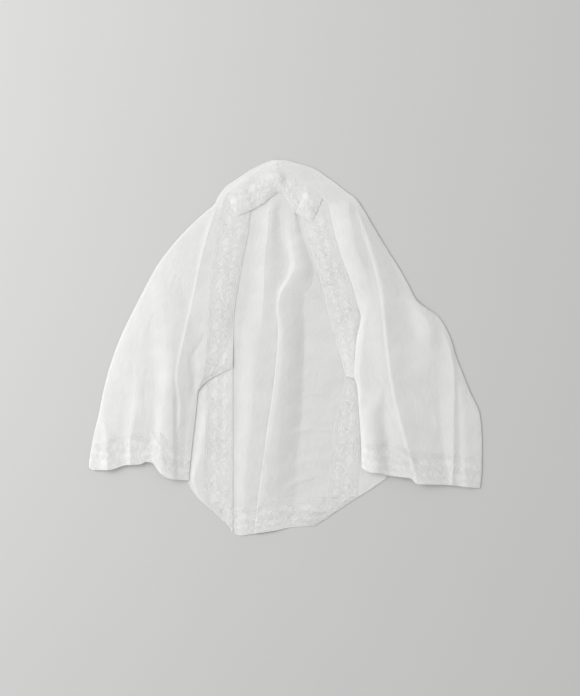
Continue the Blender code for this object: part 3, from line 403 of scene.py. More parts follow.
LEFT_REST = (
    (300, -12), (250, -50), (219, -55), (181, -60), (147, -67), (101, -75), (61, -81), (21, -88),
    (-20, -104), (-50, -122), (-75, -138), (-100, -143), (-152, -149), (-191, -153), (-215, -155),
)
RIGHT_PUFF = ((300, 2.4), (217, 2.6), (141, 2.8), (28, 3.0), (-35, 3.0), (-115, 3.0), (-205, 2.8))
BACK_ROLL = table(
    Roll,
    (250, -28, 1.0, 12, 0.6), (213, -27, 3.2, 24, 1.0), (188, -28, 4.0, 24, 1.4), (141, -33, 4.4, 26, 2.4),
    (110, -34, 4.4, 28, 3.1), (77, -35, 4.4, 30, 3.9), (13, -41, 4.9, 34, 4.4), (-51, -47, 5.0, 32, 4.6),
    (-115, -51, 4.8, 30, 4.6), (-171, -57, 4.5, 26, 4.3), (-243, -63, 3.2, 20, 3.0),
    (-298, -64, 1.2, 16, 1.0),
)
BACK_PLEAT = table(
    Pleat,
    (250, 6, -8, 1, 0.3), (213, 7, -8, 1, 0.6), (188, 8, -8, 1, 1.6), (160, 12, -8, 1, 3.4),
    (135, 16, -8, 1, 4.6), (118, 11, -7, 0.85, 4.4), (103, 2, -5, 0.65, 3.0), (86, -8, -2, 0.45, 2.0),
    (60, -11, 2, 0.35, 1.4), (19, -12, 8, 0.35, 0.8), (-53, -18, 13, 0.35, 0.7),
    (-131, -29, 20, 0.35, 0.6), (-211, -40, 28, 0.35, 0.5), (-250, -45, 31, 0.35, 0.4),
    (-298, -50, 33, 0.35, 0.2),
)
FALL_END = (
    (250, 20), (188, 34), (141, 46), (103, 44), (86, 32), (60, 30), (19, 31), (-53, 29), (-131, 25),
    (-171, 20), (-211, 19), (-250, 16), (-298, 8),
)
BAND_SWELL = ((215, 0.0), (195, 0.8), (175, 2.2), (141, 3.0), (103, 2.4), (77, 1.3), (40, 0.3), (20, 0.0))
LOWER_FOLD = fold(Slope.SOFT, Slope.EVEN,
    (-70, -119, 0, 10, 20), (-115, -125, 1.6, 14, 26), (-155, -131, 2.4, 14, 30),
    (-183, -138, 2.4, 12, 32), (-208, -145, 1.8, 8, 32), (-238, -136, 0.4, 6, 30), (-255, -124, 0, 6, 30))
PLEAT_STOPS = table(
    PleatStop,
    (-15, 0.00, 0, -6.0, 0.0), (-10, 0.10, 1, -2.2, 0.0), (-7.5, 0.28, 1, 0.0, 0.5),
    (-5.5, 0.46, 1, -2.2, 1.0), (-3.5, 0.66, 0, 2.2, 1.0), (-1.5, 0.84, 0, 0.0, 1.5),
    (1.0, 0.96, 0, 2.2, 2.0), (6.0, 1.00, 0, 8.0, 2.0),
)

# What shows of the back's body, of the bands and of the lower fronts, as X at each Y.
BODY_LEFT = (
    (250, -88), (217, -98), (130, -112), (0, -130), (-69, -142), (-157, -158), (-205, -158), (-222, -153),
    (-238, -142), (-254, -125), (-272, -105), (-290, -90), (-300, -88),
)
BODY_RIGHT = (
    (250, 60), (217, 80), (130, 104), (0, 125), (-90, 130), (-149, 137), (-180, 154), (-203, 164),
    (-223, 142), (-238, 118), (-250, 100), (-263, 80), (-274, 64), (-287, 44),
)
BAND_LEFT_INNER = (
    (243, -50), (219, -55), (181, -60), (147, -67), (101, -75), (61, -81), (21, -83), (-32, -84),
    (-80, -84),
)
BAND_RIGHT_INNER = (
    (230, 20), (194, 29), (169, 36), (136, 48), (93, 60), (57, 68), (17, 79), (-17, 89), (-45, 96),
)
LOWER_LEFT_HIDDEN = (
    (-20, -152), (-110, -152), (-157, -156), (-205, -156), (-222, -152), (-238, -141), (-254, -124),
    (-272, -104), (-290, -89), (-300, -87),
)
LOWER_LEFT_SEAM = ((-20, -127), (-99, -127), (-163, -129), (-208, -131), (-250, -129))
LOWER_RIGHT_INNER = (
    (-30, 92), (-45, 95), (-89, 88), (-117, 80), (-162, 74), (-209, 69), (-245, 66), (-285, 64),
)
LOWER_RIGHT_SEAM = ((-30, 121), (-77, 120), (-146, 121), (-184, 119), (-218, 116), (-240, 115))
LOWER_RIGHT_HIDDEN = (
    (-30, 127), (-90, 129), (-149, 135), (-180, 152), (-203, 162), (-223, 140), (-238, 116), (-250, 98),
    (-263, 79), (-272, 67), (-285, 60),
)

# The collar, and how far the turned-over neck stands up.
LEFT_COLLAR = table(
    CollarSection,
    (243, -77, 209, 5.1, 4.7), (251, -66, 215, 6.2, 4.5), (259, -55, 220, 6.0, 4.0),
    (266, -47, 224, 5.2, 3.3), (273, -40, 228, 5.0, 3.2), (279, -33, 232, 5.6, 3.6),
    (285, -26, 238, 6.4, 3.2), (291, -12, 248, 7.4, 2.7),
)
RIGHT_COLLAR = table(
    CollarSection,
    (286, -5, 246, 6.4, 2.6), (281, 1, 240, 5.0, 2.8), (274, 7, 230, 4.6, 3.2), (268, 12, 221, 4.8, 3.7),
    (262, 18, 215, 5.4, 3.7), (257, 25, 211, 6.2, 3.9), (248, 34, 205, 6.2, 4.2), (239, 43, 200, 5.4, 4.6),
)
LEFT_NECK_RISE = (
    (300, 1.6), (291, 2.6), (273, 2.8), (259, 2.6), (251, 2.2), (243, 1.8), (230, 0.8), (217, 0.0),
)
RIGHT_NECK_RISE = (
    (300, 1.6), (291, 2.6), (268, 2.8), (257, 2.6), (248, 2.2), (239, 1.8), (227, 0.8), (213, 0.0),
)

# The lace's flowers, leaves and curls: their place down the repeat and across the band, then
# each flower's size and petals, and the way that each leaf points.
FLOWERS = (
    (0.25, -0.2, 1.0, 6), (0.75, 0.19, 1.0, 6), (0.03, 0.17, 0.62, 5), (0.55, -0.17, 0.62, 5),
    (0.40, 0.1, 0.45, 5), (0.90, -0.06, 0.45, 5),
)
LEAVES = (
    (0.08, -0.1, -1.9), (0.12, -0.22, 2.6), (0.42, -0.14, 0.5), (0.32, 0.14, 1.0), (0.46, 0.12, 2.3),
    (0.60, 0.12, 1.9), (0.66, -0.06, -1.0), (0.92, 0.14, 0.4), (0.84, -0.17, -2.2),
)
CURLS = ((0.49, 0.28), (0.99, -0.25))

# Small creases, listed one by one, which only the thin cloth has.
LEFT_CREASES = table(
    Crease,
    (((-224, -30), (-228, -42), (-231, -79), (-227, -123)), 0.55, 3, 4),
    (((-251, -16), (-251, -60)), 0.4, 4, 4), (((-296, -108), (-285, -132)), 0.6, 4, 5),
    (((-212, 60), (-226, 20), (-232, -20)), 0.35, 6, 8),
    (((-262, -70), (-268, -110), (-266, -140)), 0.4, 5, 5), (((-214, -128), (-209, -150)), 0.5, 4, 4),
    (((-176, 120), (-186, 96)), 0.35, 4, 6),
)
RIGHT_CREASES = table(
    Crease,
    (((158, -84), (170, -108), (182, -134)), -0.6, 5, 5),
    (((200, -60), (214, -92), (222, -128)), 0.4, 7, 7), (((206, 66), (222, 50), (236, 24)), 0.4, 5, 6),
    (((238, -96), (244, -140)), 0.45, 5, 6), (((122, 190), (128, 170)), 0.3, 3, 4),
    (((172, 60), (184, 28)), 0.35, 6, 7), (((292, -60), (300, -100)), 0.35, 4, 4),
    (((102, 226), (113, 150), (121, 84)), 1.3, 44, 30),
)
BACK_CREASES = table(
    Crease,
    (((24, 97), (40, 83), (58, 79)), 0.9, 9, 4), (((20, -42), (58, -38)), 0.35, 5, 5),
    (((23, -79), (42, -74), (70, -76)), 0.6, 6, 4), (((30, -98), (60, -93), (80, -98)), 0.35, 4, 6),
    (((54, -58), (84, -51)), 0.35, 5, 5), (((8, -137), (42, -130), (76, -134)), 0.7, 7, 5),
    (((34, -112), (58, -118)), 0.3, 4, 5), (((24, -164), (66, -153)), 0.35, 5, 6),
    (((12, -190), (32, -181), (52, -178)), 0.8, 7, 6), (((-2, -227), (24, -213), (55, -204)), 0.8, 10, 6),
    (((-35, -203), (-20, -209)), 0.6, 4, 4), (((-34, -224), (-24, -236)), 0.5, 3, 3),
    (((-62, -244), (-48, -238)), 0.5, 3, 4), (((34, 40), (64, 27)), 0.3, 7, 7),
    (((28, 4), (52, -6)), 0.3, 5, 7),
)
COLLAR_CREASES = table(
    Crease,
    (((-62, 262), (-45, 222)), -0.5, 9, 9), (((32, 258), (14, 210)), -1.1, 10, 22),
)


def smooth_step(low: Union[float, Array], high: Union[float, Array], value: Array) -> Array:
    """Return 0 below low, 1 above high and an even ease between them."""
    share = np.clip((value - low) / (high - low), 0.0, 1.0)
    return share * share * (3.0 - 2.0 * share)


def even_tangents(slopes: Array) -> Array:
    """Return the tangents at knots that keep a curve from overshooting.

    Args:
        slopes: the slope of each stretch between knots, along the last axis.

    Returns:
        One tangent a knot, along the last axis.
    """
    before, after = slopes[..., :-1], slopes[..., 1:]
    total = np.where(before * after > 0.0, before + after, 1.0)
    middle = np.where(before * after > 0.0, 2.0 * before * after / total, 0.0)
    return np.concatenate([slopes[..., :1], middle, slopes[..., -1:]], axis=-1)


class Curve:
    """A smooth line through knots, held level past its ends, read at many places at once."""

    def __init__(self, knots: Knots) -> None:
        """Sort the knots and work out the curve's slope at each."""
        ordered = sorted(knots)
        self.at = np.array([knot[0] for knot in ordered], dtype=float)
        self.value = np.array([knot[1] for knot in ordered], dtype=float)
        self.tangent = even_tangents(np.diff(self.value) / np.diff(self.at))

    def __call__(self, where: Union[float, Array]) -> Array:
        """Return the curve's values at some places.

        Args:
            where: the places along the curve.

        Returns:
            The value at each place.
        """
        held = np.clip(where, self.at[0], self.at[-1])
        i = np.clip(np.searchsorted(self.at, held, side="right") - 1, 0, len(self.at) - 2)
        span = self.at[i + 1] - self.at[i]
        t = (held - self.at[i]) / span
        rise = self.value[i + 1] - self.value[i]
        start, end = self.tangent[i] * span, self.tangent[i + 1] * span
        bend = start + end - 2.0 * rise
        return self.value[i] + t * (start + t * (rise - start - bend + t * bend))


def column(rows: Sequence[NamedTuple], name: str) -> Curve:
    """Return the curve of one named column of a table over its sections' Y."""
    return Curve([(row.y, getattr(row, name)) for row in rows])


def smooth_between(knots: Array, steps: int) -> Array:
    """Return values eased through the knots of each row of an array.

    Args:
        knots: one row of knots for each section.
        steps: how many steps to take between two knots.

    Returns:
        The rows with their in-between values.
    """
    tangent = even_tangents(np.diff(knots, axis=1))
    made = []
    for i in range(knots.shape[1] - 1):
        rise = knots[:, i + 1] - knots[:, i]
        bend = tangent[:, i] + tangent[:, i + 1] - 2.0 * rise
        for k in range(steps):
            t = k / steps
            made.append(knots[:, i] + t * (tangent[:, i] + t * (rise - tangent[:, i] - bend + t * bend)))
    return np.stack(made + [knots[:, -1]], axis=1)


def come_down(slope: Slope, share: Array) -> Array:
    """Return how much of a fold's height is left at a share, 0 to 1, of the way down its side.

    Args:
        slope: how the side comes down.
        share: the share of the way, 0 to 1.

    Returns:
        The share of the height, 1 to 0.
    """
    if slope is Slope.KEEN:
        return (1.0 - share) ** 2
    if slope is Slope.EVEN:
        return (1.0 - share) ** EVEN_POWER
    if slope is Slope.ROUND:
        return (1.0 - share * share) ** ROUND_POWER
    return 0.5 + 0.5 * np.cos(math.pi * share)


class FoldLine:
    """A fold that runs down the cloth, read from its table."""

    def __init__(self, given: FoldRows) -> None:
        """Read the columns of the fold's table."""
        self.slopes = (given.left_slope, given.right_slope)
        self.x, self.height, self.left, self.right = (
            column(given.rows, name) for name in ("x", "height", "left", "right"))

    def rise(self, x: Array, y: Array) -> Array:
        """Return how far the fold lifts the cloth at each place.

        Args:
            x: the places' X.
            y: the places' Y.

        Returns:
            The rise at each place.
        """
        offset = x - self.x(y)
        left = come_down(self.slopes[0], np.clip(-offset / self.left(y), 0.0, 1.0))
        right = come_down(self.slopes[1], np.clip(offset / self.right(y), 0.0, 1.0))
        return self.height(y) * np.where(offset < 0.0, left, right)


def crease_rise(creases: Sequence[Crease], x: Array, y: Array) -> Array:
    """Return how far the listed creases lift the cloth.

    Args:
        creases: the creases, whose left is the side to the left of their path.
        x: the places' X.
        y: the places' Y.

    Returns:
        The rise at each place, eased to nothing at the ends of each crease.
    """
    total = np.zeros_like(x)
    for crease in creases:
        bends = np.array(crease.path, dtype=float)
        pace = np.linspace(0.0, len(bends) - 1.0, CREASE_STEPS * len(bends))
        path = np.stack([Curve(list(enumerate(bends[:, axis])))(pace) for axis in (0, 1)], axis=1)
        nearest = np.full(x.shape, np.inf)
        side = np.zeros_like(x)
        along = np.zeros_like(x)
        for i, (start, end) in enumerate(zip(path, path[1:])):
            step = end - start
            share = np.clip(((x - start[0]) * step[0] + (y - start[1]) * step[1]) / (step @ step), 0, 1)
            off_x, off_y = x - start[0] - share * step[0], y - start[1] - share * step[1]
            far = np.hypot(off_x, off_y)
            closer = far < nearest
            nearest = np.where(closer, far, nearest)
            side = np.where(closer, step[0] * off_y - step[1] * off_x, side)
            along = np.where(closer, (i + share) / (len(path) - 1), along)
        reach = np.where(side > 0.0, crease.left, crease.right)
        profile = come_down(Slope.SOFT, np.minimum(nearest / reach, 1.0))
        ends = smooth_step(0.0, CREASE_ENDS, along) * smooth_step(0.0, CREASE_ENDS, 1.0 - along)
        total += crease.height * profile * ends
    return total


def settled(inset: Array, drop: float, reach: float) -> Array:
    """Return how far an edge settles, from its drop at the edge to nothing at its reach."""
    return drop * (1.0 - np.clip(inset / reach, 0.0, 1.0)) ** 2


def ruffle(x: Array, y: Array, pitch: float, seed: float) -> Array:
    """Return an even, uneven-looking ripple between -1 and 1 from a few crossed waves.

    Args:
        x: the places' X.
        y: the places' Y.
        pitch: the length of the longest wave.
        seed: a number that shifts the waves.

    Returns:
        The ripple at each place.
    """
    turn = 2.0 * math.pi / pitch
    return (np.sin(turn * (x + 0.31 * y) + seed + 1.7 * np.sin(turn * 0.37 * y + seed))
            * np.cos(turn * (0.83 * y - 0.22 * x) + 2.3 * seed)
            + 0.5 * np.sin(turn * 1.9 * (0.6 * x - y) + 3.1 * seed)) / 1.5


def spread(stops: Sequence[Array], counts: Sequence[int]) -> List[Array]:
    """Return the stops kept in order, each far enough past the last for its steps.

    Args:
        stops: the X of each stop at every section.
        counts: how many steps lie between each two stops.

    Returns:
        The stops, moved where they must.
    """
    least = np.minimum(LEAST_STEP, (stops[-1] - stops[0]) / sum(counts) / 2.0)
    kept = list(stops)
    for i, count in enumerate(counts[:-1]):
        kept[i + 1] = np.maximum(kept[i + 1], kept[i] + least * count)
    for i in range(len(counts) - 1, 0, -1):
        kept[i] = np.minimum(kept[i], kept[i + 1] - least * counts[i])
    return kept


def between(stops: Sequence[Array], counts: Sequence[int]) -> Array:
    """Return columns through the stops, with an even count of steps between each two.

    Args:
        stops: the X of each stop at every section.
        counts: how many steps lie between each two stops.

    Returns:
        One column for each step's start, and the last stop.
    """
    made = []
    for start, end, count in zip(stops, stops[1:], counts):
        made += [start + (end - start) * k / count for k in range(count)]
    return np.stack(made + [stops[-1]], axis=1)


def level(y: float) -> Line:
    """Return a straight row line."""
    return lambda x: np.full_like(x, y)


def blend(upper: Line, lower: Line, share: float) -> Line:
    """Return the row line a share of the way from one line to another."""
    return lambda x: (1.0 - share) * upper(x) + share * lower(x)


class Rows:
    """The row lines of a grid, laid down the cloth about a step apart."""

    def __init__(self, first: Line, step: float) -> None:
        """Start from the first row line."""
        self.lines: List[Line] = [first]
        self.step = step

    def down_to(self, line: Line, length: float) -> "Rows":
        """Add the row lines down to one line about a length below, and return the rows.

        Args:
            line: the line to end on.
            length: about how far below it lies.

        Returns:
            The rows themselves.
        """
        steps = round(length / self.step)
        last = self.lines[-1]
        self.lines += [blend(last, line, (k + 1) / steps) for k in range(steps - 1)] + [line]
        return self


def shares(count: int) -> Array:
    """Return the share of the way at the end of each of some even steps."""
    return np.linspace(0.0, 1.0, count + 1)[1:]


def read_columns(values: Array, y: Array) -> Array:
    """Return each column's value at its own places, from a table with a row a section.

    Args:
        values: a value for each column at each of SECTIONS.
        y: the Y of each point, with a column for each of the values'.

    Returns:
        The value at each point.
    """
    at = np.clip((y - SECTIONS[0]) / SECTION_STEP, 0.0, len(SECTIONS) - 1.001)
    low = at.astype(int)
    part = at - low
    across = np.broadcast_to(np.arange(values.shape[1]), y.shape)
    return values[low, across] * (1.0 - part) + values[low + 1, across] * part


def lay(rows: Rows, columns: Array) -> Tuple[Array, Array]:
    """Return the X and Y of the points where row lines cross columns.

    Args:
        rows: the row lines.
        columns: the X of each column at each of SECTIONS.

    Returns:
        Two arrays with a row for each row line.
    """
    start = np.zeros(columns.shape[1])
    y = np.stack([line(start) for line in rows.lines])
    for _ in range(LAY_ROUNDS):
        x = read_columns(columns, y)
        y = 0.5 * y + 0.5 * np.stack([line(x[i]) for i, line in enumerate(rows.lines)])
    return read_columns(columns, y), y


class Value:
    """A shader value. Its operators add Math nodes, and its reflected forms take numbers."""

    def __init__(self, shader: "Shader", socket: bpy.types.NodeSocket) -> None:
        """Hold a socket and the shader that it is in."""
        self.shader = shader
        self.socket = socket

    def maths(self, operation: str, *others: Union["Value", float]) -> "Value":
        """Return this value worked with others by a Math node."""
        inputs = {i: other for i, other in enumerate((self,) + others)}
        return self.shader.node("ShaderNodeMath", {"operation": operation}, inputs)

    def __add__(self, other: Union["Value", float]) -> "Value":
        """Return the sum."""
        return self.maths("ADD", other)

    __radd__ = __add__

    def __mul__(self, other: Union["Value", float]) -> "Value":
        """Return the product."""
        return self.maths("MULTIPLY", other)

    __rmul__ = __mul__

    def __sub__(self, other: Union["Value", float]) -> "Value":
        """Return the difference."""
        return self.maths("SUBTRACT", other)

    def __rsub__(self, other: float) -> "Value":
        """Return a number less this value."""
        return self.shader.node("ShaderNodeMath", {"operation": "SUBTRACT"}, {0: other, 1: self})


class Shader:
    """A node material of one finish, built up from expressions."""

    def __init__(self, name: str) -> None:
        """Start a material with a plain surface."""
        self.material = bpy.data.materials.new(name)
        self.material.use_nodes = True
        self.tree = self.material.node_tree
        self.surface = self.tree.nodes["Principled BSDF"]

    def node(self, kind: str, settings: Dict[str, object],
             inputs: Dict[Union[str, int], object], output: Union[str, int] = 0) -> Value:
        """Add one node.

        Args:
            kind: the node's type.
            settings: its settings, set before its sockets.
            inputs: a value, number, colour or vector for each socket that is used.
            output: the socket to return.

        Returns:
            The value of that output.
        """
        made = self.tree.nodes.new(kind)
        for key, setting in settings.items():
            setattr(made, key, setting)
        for key, given in inputs.items():
            if isinstance(given, Value):
                self.tree.links.new(given.socket, made.inputs[key])
            else:
                made.inputs[key].default_value = given
        return Value(self, made.outputs[output])

    def dressed(self, sockets: Dict[str, Union[Value, float]]) -> Material:
        """Return the material once the sockets of its surface are set, to values or constants.

        Args:
            sockets: a value or number for each socket's name.

        Returns:
            The material.
        """
        for socket, given in sockets.items():
            if isinstance(given, Value):
                self.tree.links.new(given.socket, self.surface.inputs[socket])
            else:
                self.surface.inputs[socket].default_value = given
        return self.material

    def cloth_place(self) -> Value:
        """Return the place on the cloth's own UV map, in millimetres."""
        place = self.node("ShaderNodeTexCoord", {}, {}, "UV")
        return self.node("ShaderNodeMapping", {}, {"Vector": place, "Scale": (1.0 / MM,) * 3})

    def noise(self, place: Value, scale: float, detail: float = 2.0) -> Value:
        """Return a soft noise between about 0 and 1."""
        return self.node("ShaderNodeTexNoise", {"noise_dimensions": "2D"},
                         {"Vector": place, "Scale": scale, "Detail": detail})

    def range(self, value: Value, low: float, high: float, to_low: float, to_high: float) -> Value:
        """Return a value moved from one range to another, held at its ends."""
        return self.node("ShaderNodeMapRange", {"clamp": True},
                         {"Value": value, 1: low, 2: high, 3: to_low, 4: to_high})

    def mix(self, share: Value, first: Colour, second: Colour) -> Value:
        """Return a colour between two by a share."""
        return self.node("ShaderNodeMix", {"data_type": "RGBA"}, {0: share, 6: first, 7: second}, 2)

    def bump(self, height: Value, distance: float) -> Value:
        """Return a normal from a height between 0 and 1 and its real height in metres."""
        return self.node("ShaderNodeBump", {}, {"Height": height, "Distance": distance, "Strength": 1.0})


@dataclass(frozen=True)
class GauzeFinish:
    """Sheer plain-woven cotton: fine threads, faint crinkle, and light through it."""

    name: str
    thread: Colour = cotton(0.88, 0.008)
    shade: Colour = cotton(0.84, 0.008)
    cover: float = 0.62
    cover_swing: float = 0.08
    threads_per_mm: float = 2.2
    cloud_scale: float = 0.035
    slub_scale: float = 0.9
    slub_draw: float = 0.06
    crinkle_scale: float = 0.16
    fleck_scale: float = 0.55
    bump_height: float = 0.0007

    def material(self) -> Material:
        """Return the gauze's material."""
        shader = Shader(self.name)
        place = shader.cloth_place()
        turn = 2.0 * math.pi * self.threads_per_mm
        warp, weft = ((shader.node("ShaderNodeSeparateXYZ", {}, {0: place}, axis) * turn).maths("SINE")
                      for axis in (0, 1))
        weave = warp * weft
        drawn = shader.node("ShaderNodeMapping", {}, {"Vector": place, "Scale": (1.0, self.slub_draw, 1.0)})
        slub = shader.noise(drawn, self.slub_scale, 1.0)
        cloud, crinkle = (shader.noise(place, scale, 3.0) for scale in (self.cloud_scale, self.crinkle_scale))
        relief = weave * 0.06 + slub * 0.12 + crinkle * 0.5 + shader.noise(place, self.fleck_scale) * 0.2
        return shader.dressed({
            "Base Color": shader.mix(shader.range(cloud + slub * 0.35, 0.45, 0.9, 0.0, 1.0),
                                     self.shade, self.thread),
            "Roughness": shader.range(cloud, 0.3, 0.7, 0.82, 0.95),
            "Alpha": shader.range(weave + (slub - 0.5) * 1.2, -1.0, 1.0,
                                  self.cover - self.cover_swing, self.cover + self.cover_swing),
            "Normal": shader.bump(relief, self.bump_height),
            "Specular IOR Level": 0.15,
            "Sheen Weight": 0.12,
            "Sheen Roughness": 0.6,
        })


@dataclass(frozen=True)
class LaceFinish:
    """Cotton lace: a fine net with raised satin threads where the motif attribute is high."""

    name: str
    thread: Colour = cotton(0.915, 0.01)
    net: Colour = cotton(0.855, 0.01)
    net_cover: float = 0.57
    net_swing: float = 0.1
    motif_cover: float = 0.64
    cell: float = 1.6
    satin_scale: float = 0.32
    curls: float = 36.0
    curl_scale: float = 0.11
    cloud_scale: float = 0.12
    patch_scale: float = 0.045
    bump_height: float = 0.0007

    def material(self) -> Material:
        """Return the lace's material."""
        shader = Shader(self.name)
        place = shader.cloth_place()
        motif = shader.node("ShaderNodeAttribute", {"attribute_name": "motif"}, {}, "Fac")
        cells = shader.node("ShaderNodeTexVoronoi",
                            {"feature": "DISTANCE_TO_EDGE", "voronoi_dimensions": "2D"},
                            {"Vector": place, "Scale": 1.0 / self.cell, "Randomness": 0.35}, "Distance")
        mesh = shader.range(cells, 0.08, 0.3, 1.0, 0.0)
        satin = shader.node("ShaderNodeTexWave", {"bands_direction": "DIAGONAL"},
                            {"Vector": place, "Scale": self.satin_scale, "Distortion": 3.0, "Detail": 1.0})
        curl = (shader.noise(place, self.curl_scale, 1.0) * self.curls).maths("SINE")
        cloud = shader.noise(place, self.cloud_scale)
        patch = shader.range(shader.noise(place, self.patch_scale, 1.0), 0.38, 0.6, 0.35, 1.0)
        cover = shader.range(motif, 0.25, 0.7, 0.0, 1.0)
        worked = shader.range(curl, -0.2, 0.9, 0.0, 1.0) * patch
        low, high = self.net_cover - self.net_swing, self.net_cover + self.net_swing
        ground = shader.range(mesh, 0.0, 1.0, low, high)
        relief = mesh * 0.2 * (1.0 - cover) + satin * cover * 0.15 + cloud * 0.1 + worked * 0.5
        return shader.dressed({
            "Base Color": shader.mix(cover * 0.2 + worked * 0.7 + cloud * 0.1, self.net, self.thread),
            "Roughness": shader.range(cover, 0.0, 1.0, 0.9, 0.75),
            "Alpha": ground * (1.0 - cover) + cover * self.motif_cover,
            "Normal": shader.bump(relief, self.bump_height),
            "Specular IOR Level": 0.25,
            "Sheen Weight": 0.1,
        })


@dataclass(frozen=True)
class ThreadFinish:
    """White sewing thread."""

    name: str
    colour: Colour = cotton(0.94, 0.01)
    twists: float = 900.0
    bump_height: float = 0.0001

    def material(self) -> Material:
        """Return the thread's material, with a twist whose grooves have painted shade."""
        shader = Shader(self.name)
        place = shader.node("ShaderNodeTexCoord", {}, {}, "Object")
        twist = shader.node("ShaderNodeTexWave", {"bands_direction": "DIAGONAL"},
                            {"Vector": place, "Scale": self.twists, "Distortion": 0.6})
        # The twist's grooves are drawn a tenth darker than the thread: painted shade in its hollows.
        groove = tuple(0.9 * part for part in self.colour[:3]) + (1.0,)
        return shader.dressed({
            "Base Color": shader.mix(twist, groove, self.colour),
            "Roughness": 0.7,
            "Normal": shader.bump(twist, self.bump_height),
        })


@dataclass(frozen=True)
class FloorFinish:
    """A plain pale surface with the slightest mottle."""

    name: str
    pale: Colour = (0.530, 0.528, 0.524, 1.0)
    dim: Colour = (0.520, 0.518, 0.514, 1.0)

    def material(self) -> Material:
        """Return the floor's material."""
        shader = Shader(self.name)
        place = shader.node("ShaderNodeTexCoord", {}, {}, "Object")
        mottle = shader.node("ShaderNodeTexNoise", {}, {"Vector": place, "Scale": 5.0, "Detail": 4.0})
        return shader.dressed({
            "Base Color": shader.mix(mottle, self.dim, self.pale),
            "Roughness": 0.95,
            "Specular IOR Level": 0.1,
        })


@dataclass(frozen=True)
class LaceDesign:
    """A plain flower, leaf and scroll border, worked in raised thread on net."""

    repeat: float = 34.0
    middle: float = 0.54
    swing: float = 0.13
    flower: float = 6.2
    leaf: float = 6.0
    curl_radius: float = 3.6
    stem: float = 0.7
    scallop_in: float = 8.0
    scallop_depth: float = 2.4
    cord_width: float = 0.8
    cord_height: float = 0.45
    relief: float = 0.15

    def bloom(self, along: Array, across: Array, radius: float, petals: int, turn: float) -> Array:
        """Return the thread height, 0 to 1, of one flower about its middle.

        Args:
            along: the distance down the band.
            across: the distance across the band.
            radius: the flower's radius.
            petals: how many petals it has.
            turn: how far it is turned, in radians.

        Returns:
            The height at each place.
        """
        far = np.hypot(along, across)
        angle = np.arctan2(across, along) + turn
        lobe = np.abs(np.cos(0.5 * petals * angle))
        rim = radius * (0.42 + 0.58 * lobe ** 0.55)
        inside = smooth_step(rim + 0.7, rim - 0.7, far)
        cord = np.exp(-((far - rim + 1.0) / 0.8) ** 2)
        ribs = 0.5 + 0.5 * np.cos(4.0 * petals * angle)
        heart = np.exp(-((far - 0.18 * radius) / 0.7) ** 2)
        return inside * np.clip(0.38 + 0.5 * cord + 0.22 * ribs * (far > 0.25 * radius) + 0.6 * heart, 0, 1)

    def leaf_at(self, along: Array, across: Array, length: float, turn: float) -> Array:
        """Return the thread height, 0 to 1, of one leaf that starts at its foot.

        Args:
            along: the distance down the band.
            across: the distance across the band.
            length: the leaf's length.
            turn: the way that it points, in radians.

        Returns:
            The height at each place.
        """
        down = along * math.cos(turn) + across * math.sin(turn)
        off = across * math.cos(turn) - along * math.sin(turn)
        share = np.clip(down / length, 0.0, 1.0)
        half = 0.34 * length * np.sin(math.pi * share ** 0.8) + 0.01
        inside = smooth_step(1.0, 0.7, np.abs(off) / half) * (down > 0.0) * (down < length)
        vein = np.exp(-(off / 0.5) ** 2)
        return inside * np.clip(0.75 + 0.2 * np.cos(2.2 * (down + np.abs(off))) - 0.5 * vein, 0, 1)

    def curl(self, along: Array, across: Array, radius: float, turn: float) -> Array:
        """Return the thread height, 0 to 1, of one curled tendril.

        Args:
            along: the distance down the band.
            across: the distance across the band.
            radius: the curl's radius.
            turn: where it starts, in radians.

        Returns:
            The height at each place.
        """
        far = np.hypot(along, across)
        angle = (np.arctan2(across, along) - turn) % (2.0 * math.pi)
        path = radius * (0.35 + 0.65 * angle / (2.0 * math.pi))
        return np.exp(-((far - path) / self.stem) ** 2) * (far < radius * 1.1)

    def height(self, along: Array, across: Array, width: Array) -> Array:
        """Return the motif's thread height.

        Args:
            along: the distance down the band.
            across: the distance from the band's sewn edge.
            width: the band's width there.

        Returns:
            A height between 0 and 1 at each place.
        """
        middle = self.middle * width
        swing = self.swing * width
        wave = 2.0 * math.pi * along / self.repeat
        slope = swing * 2.0 * math.pi / self.repeat * np.cos(wave)
        stem = middle + swing * np.sin(wave)
        made = 0.75 * np.exp(-((across - stem) / np.hypot(1.0, slope) / self.stem) ** 2)
        scallop = width - self.scallop_in + self.scallop_depth * np.abs(np.sin(2.5 * wave / 2.0))
        made = np.maximum(made, 0.6 * np.exp(-((across - scallop) / self.cord_width) ** 2))
        place = along % self.repeat
        for shift in (-self.repeat, 0.0, self.repeat):
            a = place - shift
            for at, side, size, petals in FLOWERS:
                b = across - middle - side * width
                bloom = self.bloom(a - at * self.repeat, b, size * self.flower, petals, 3.0 * at)
                made = np.maximum(made, bloom)
            for at, side, turn in LEAVES:
                foot = middle + side * width
                made = np.maximum(made, self.leaf_at(a - at * self.repeat, across - foot, self.leaf, turn))
            for at, side in CURLS:
                b = across - middle - side * width
                curl = self.curl(a - at * self.repeat, b, self.curl_radius, 1.2 + 4.0 * side)
                made = np.maximum(made, 0.7 * curl)
        return made

    def border(self, across: Array, width: Array) -> Array:
        """Return the height of the cords that run along both edges.

        Args:
            across: the distance across the band.
            width: the band's width there.

        Returns:
            A height between 0 and 1 at each place.
        """
        made = np.zeros_like(across)
        for inset in SEWING_INSETS:
            for off in (across - inset, width - across - inset):
                made = np.maximum(made, self.cord_height * np.exp(-(off / self.cord_width) ** 2))
        return made


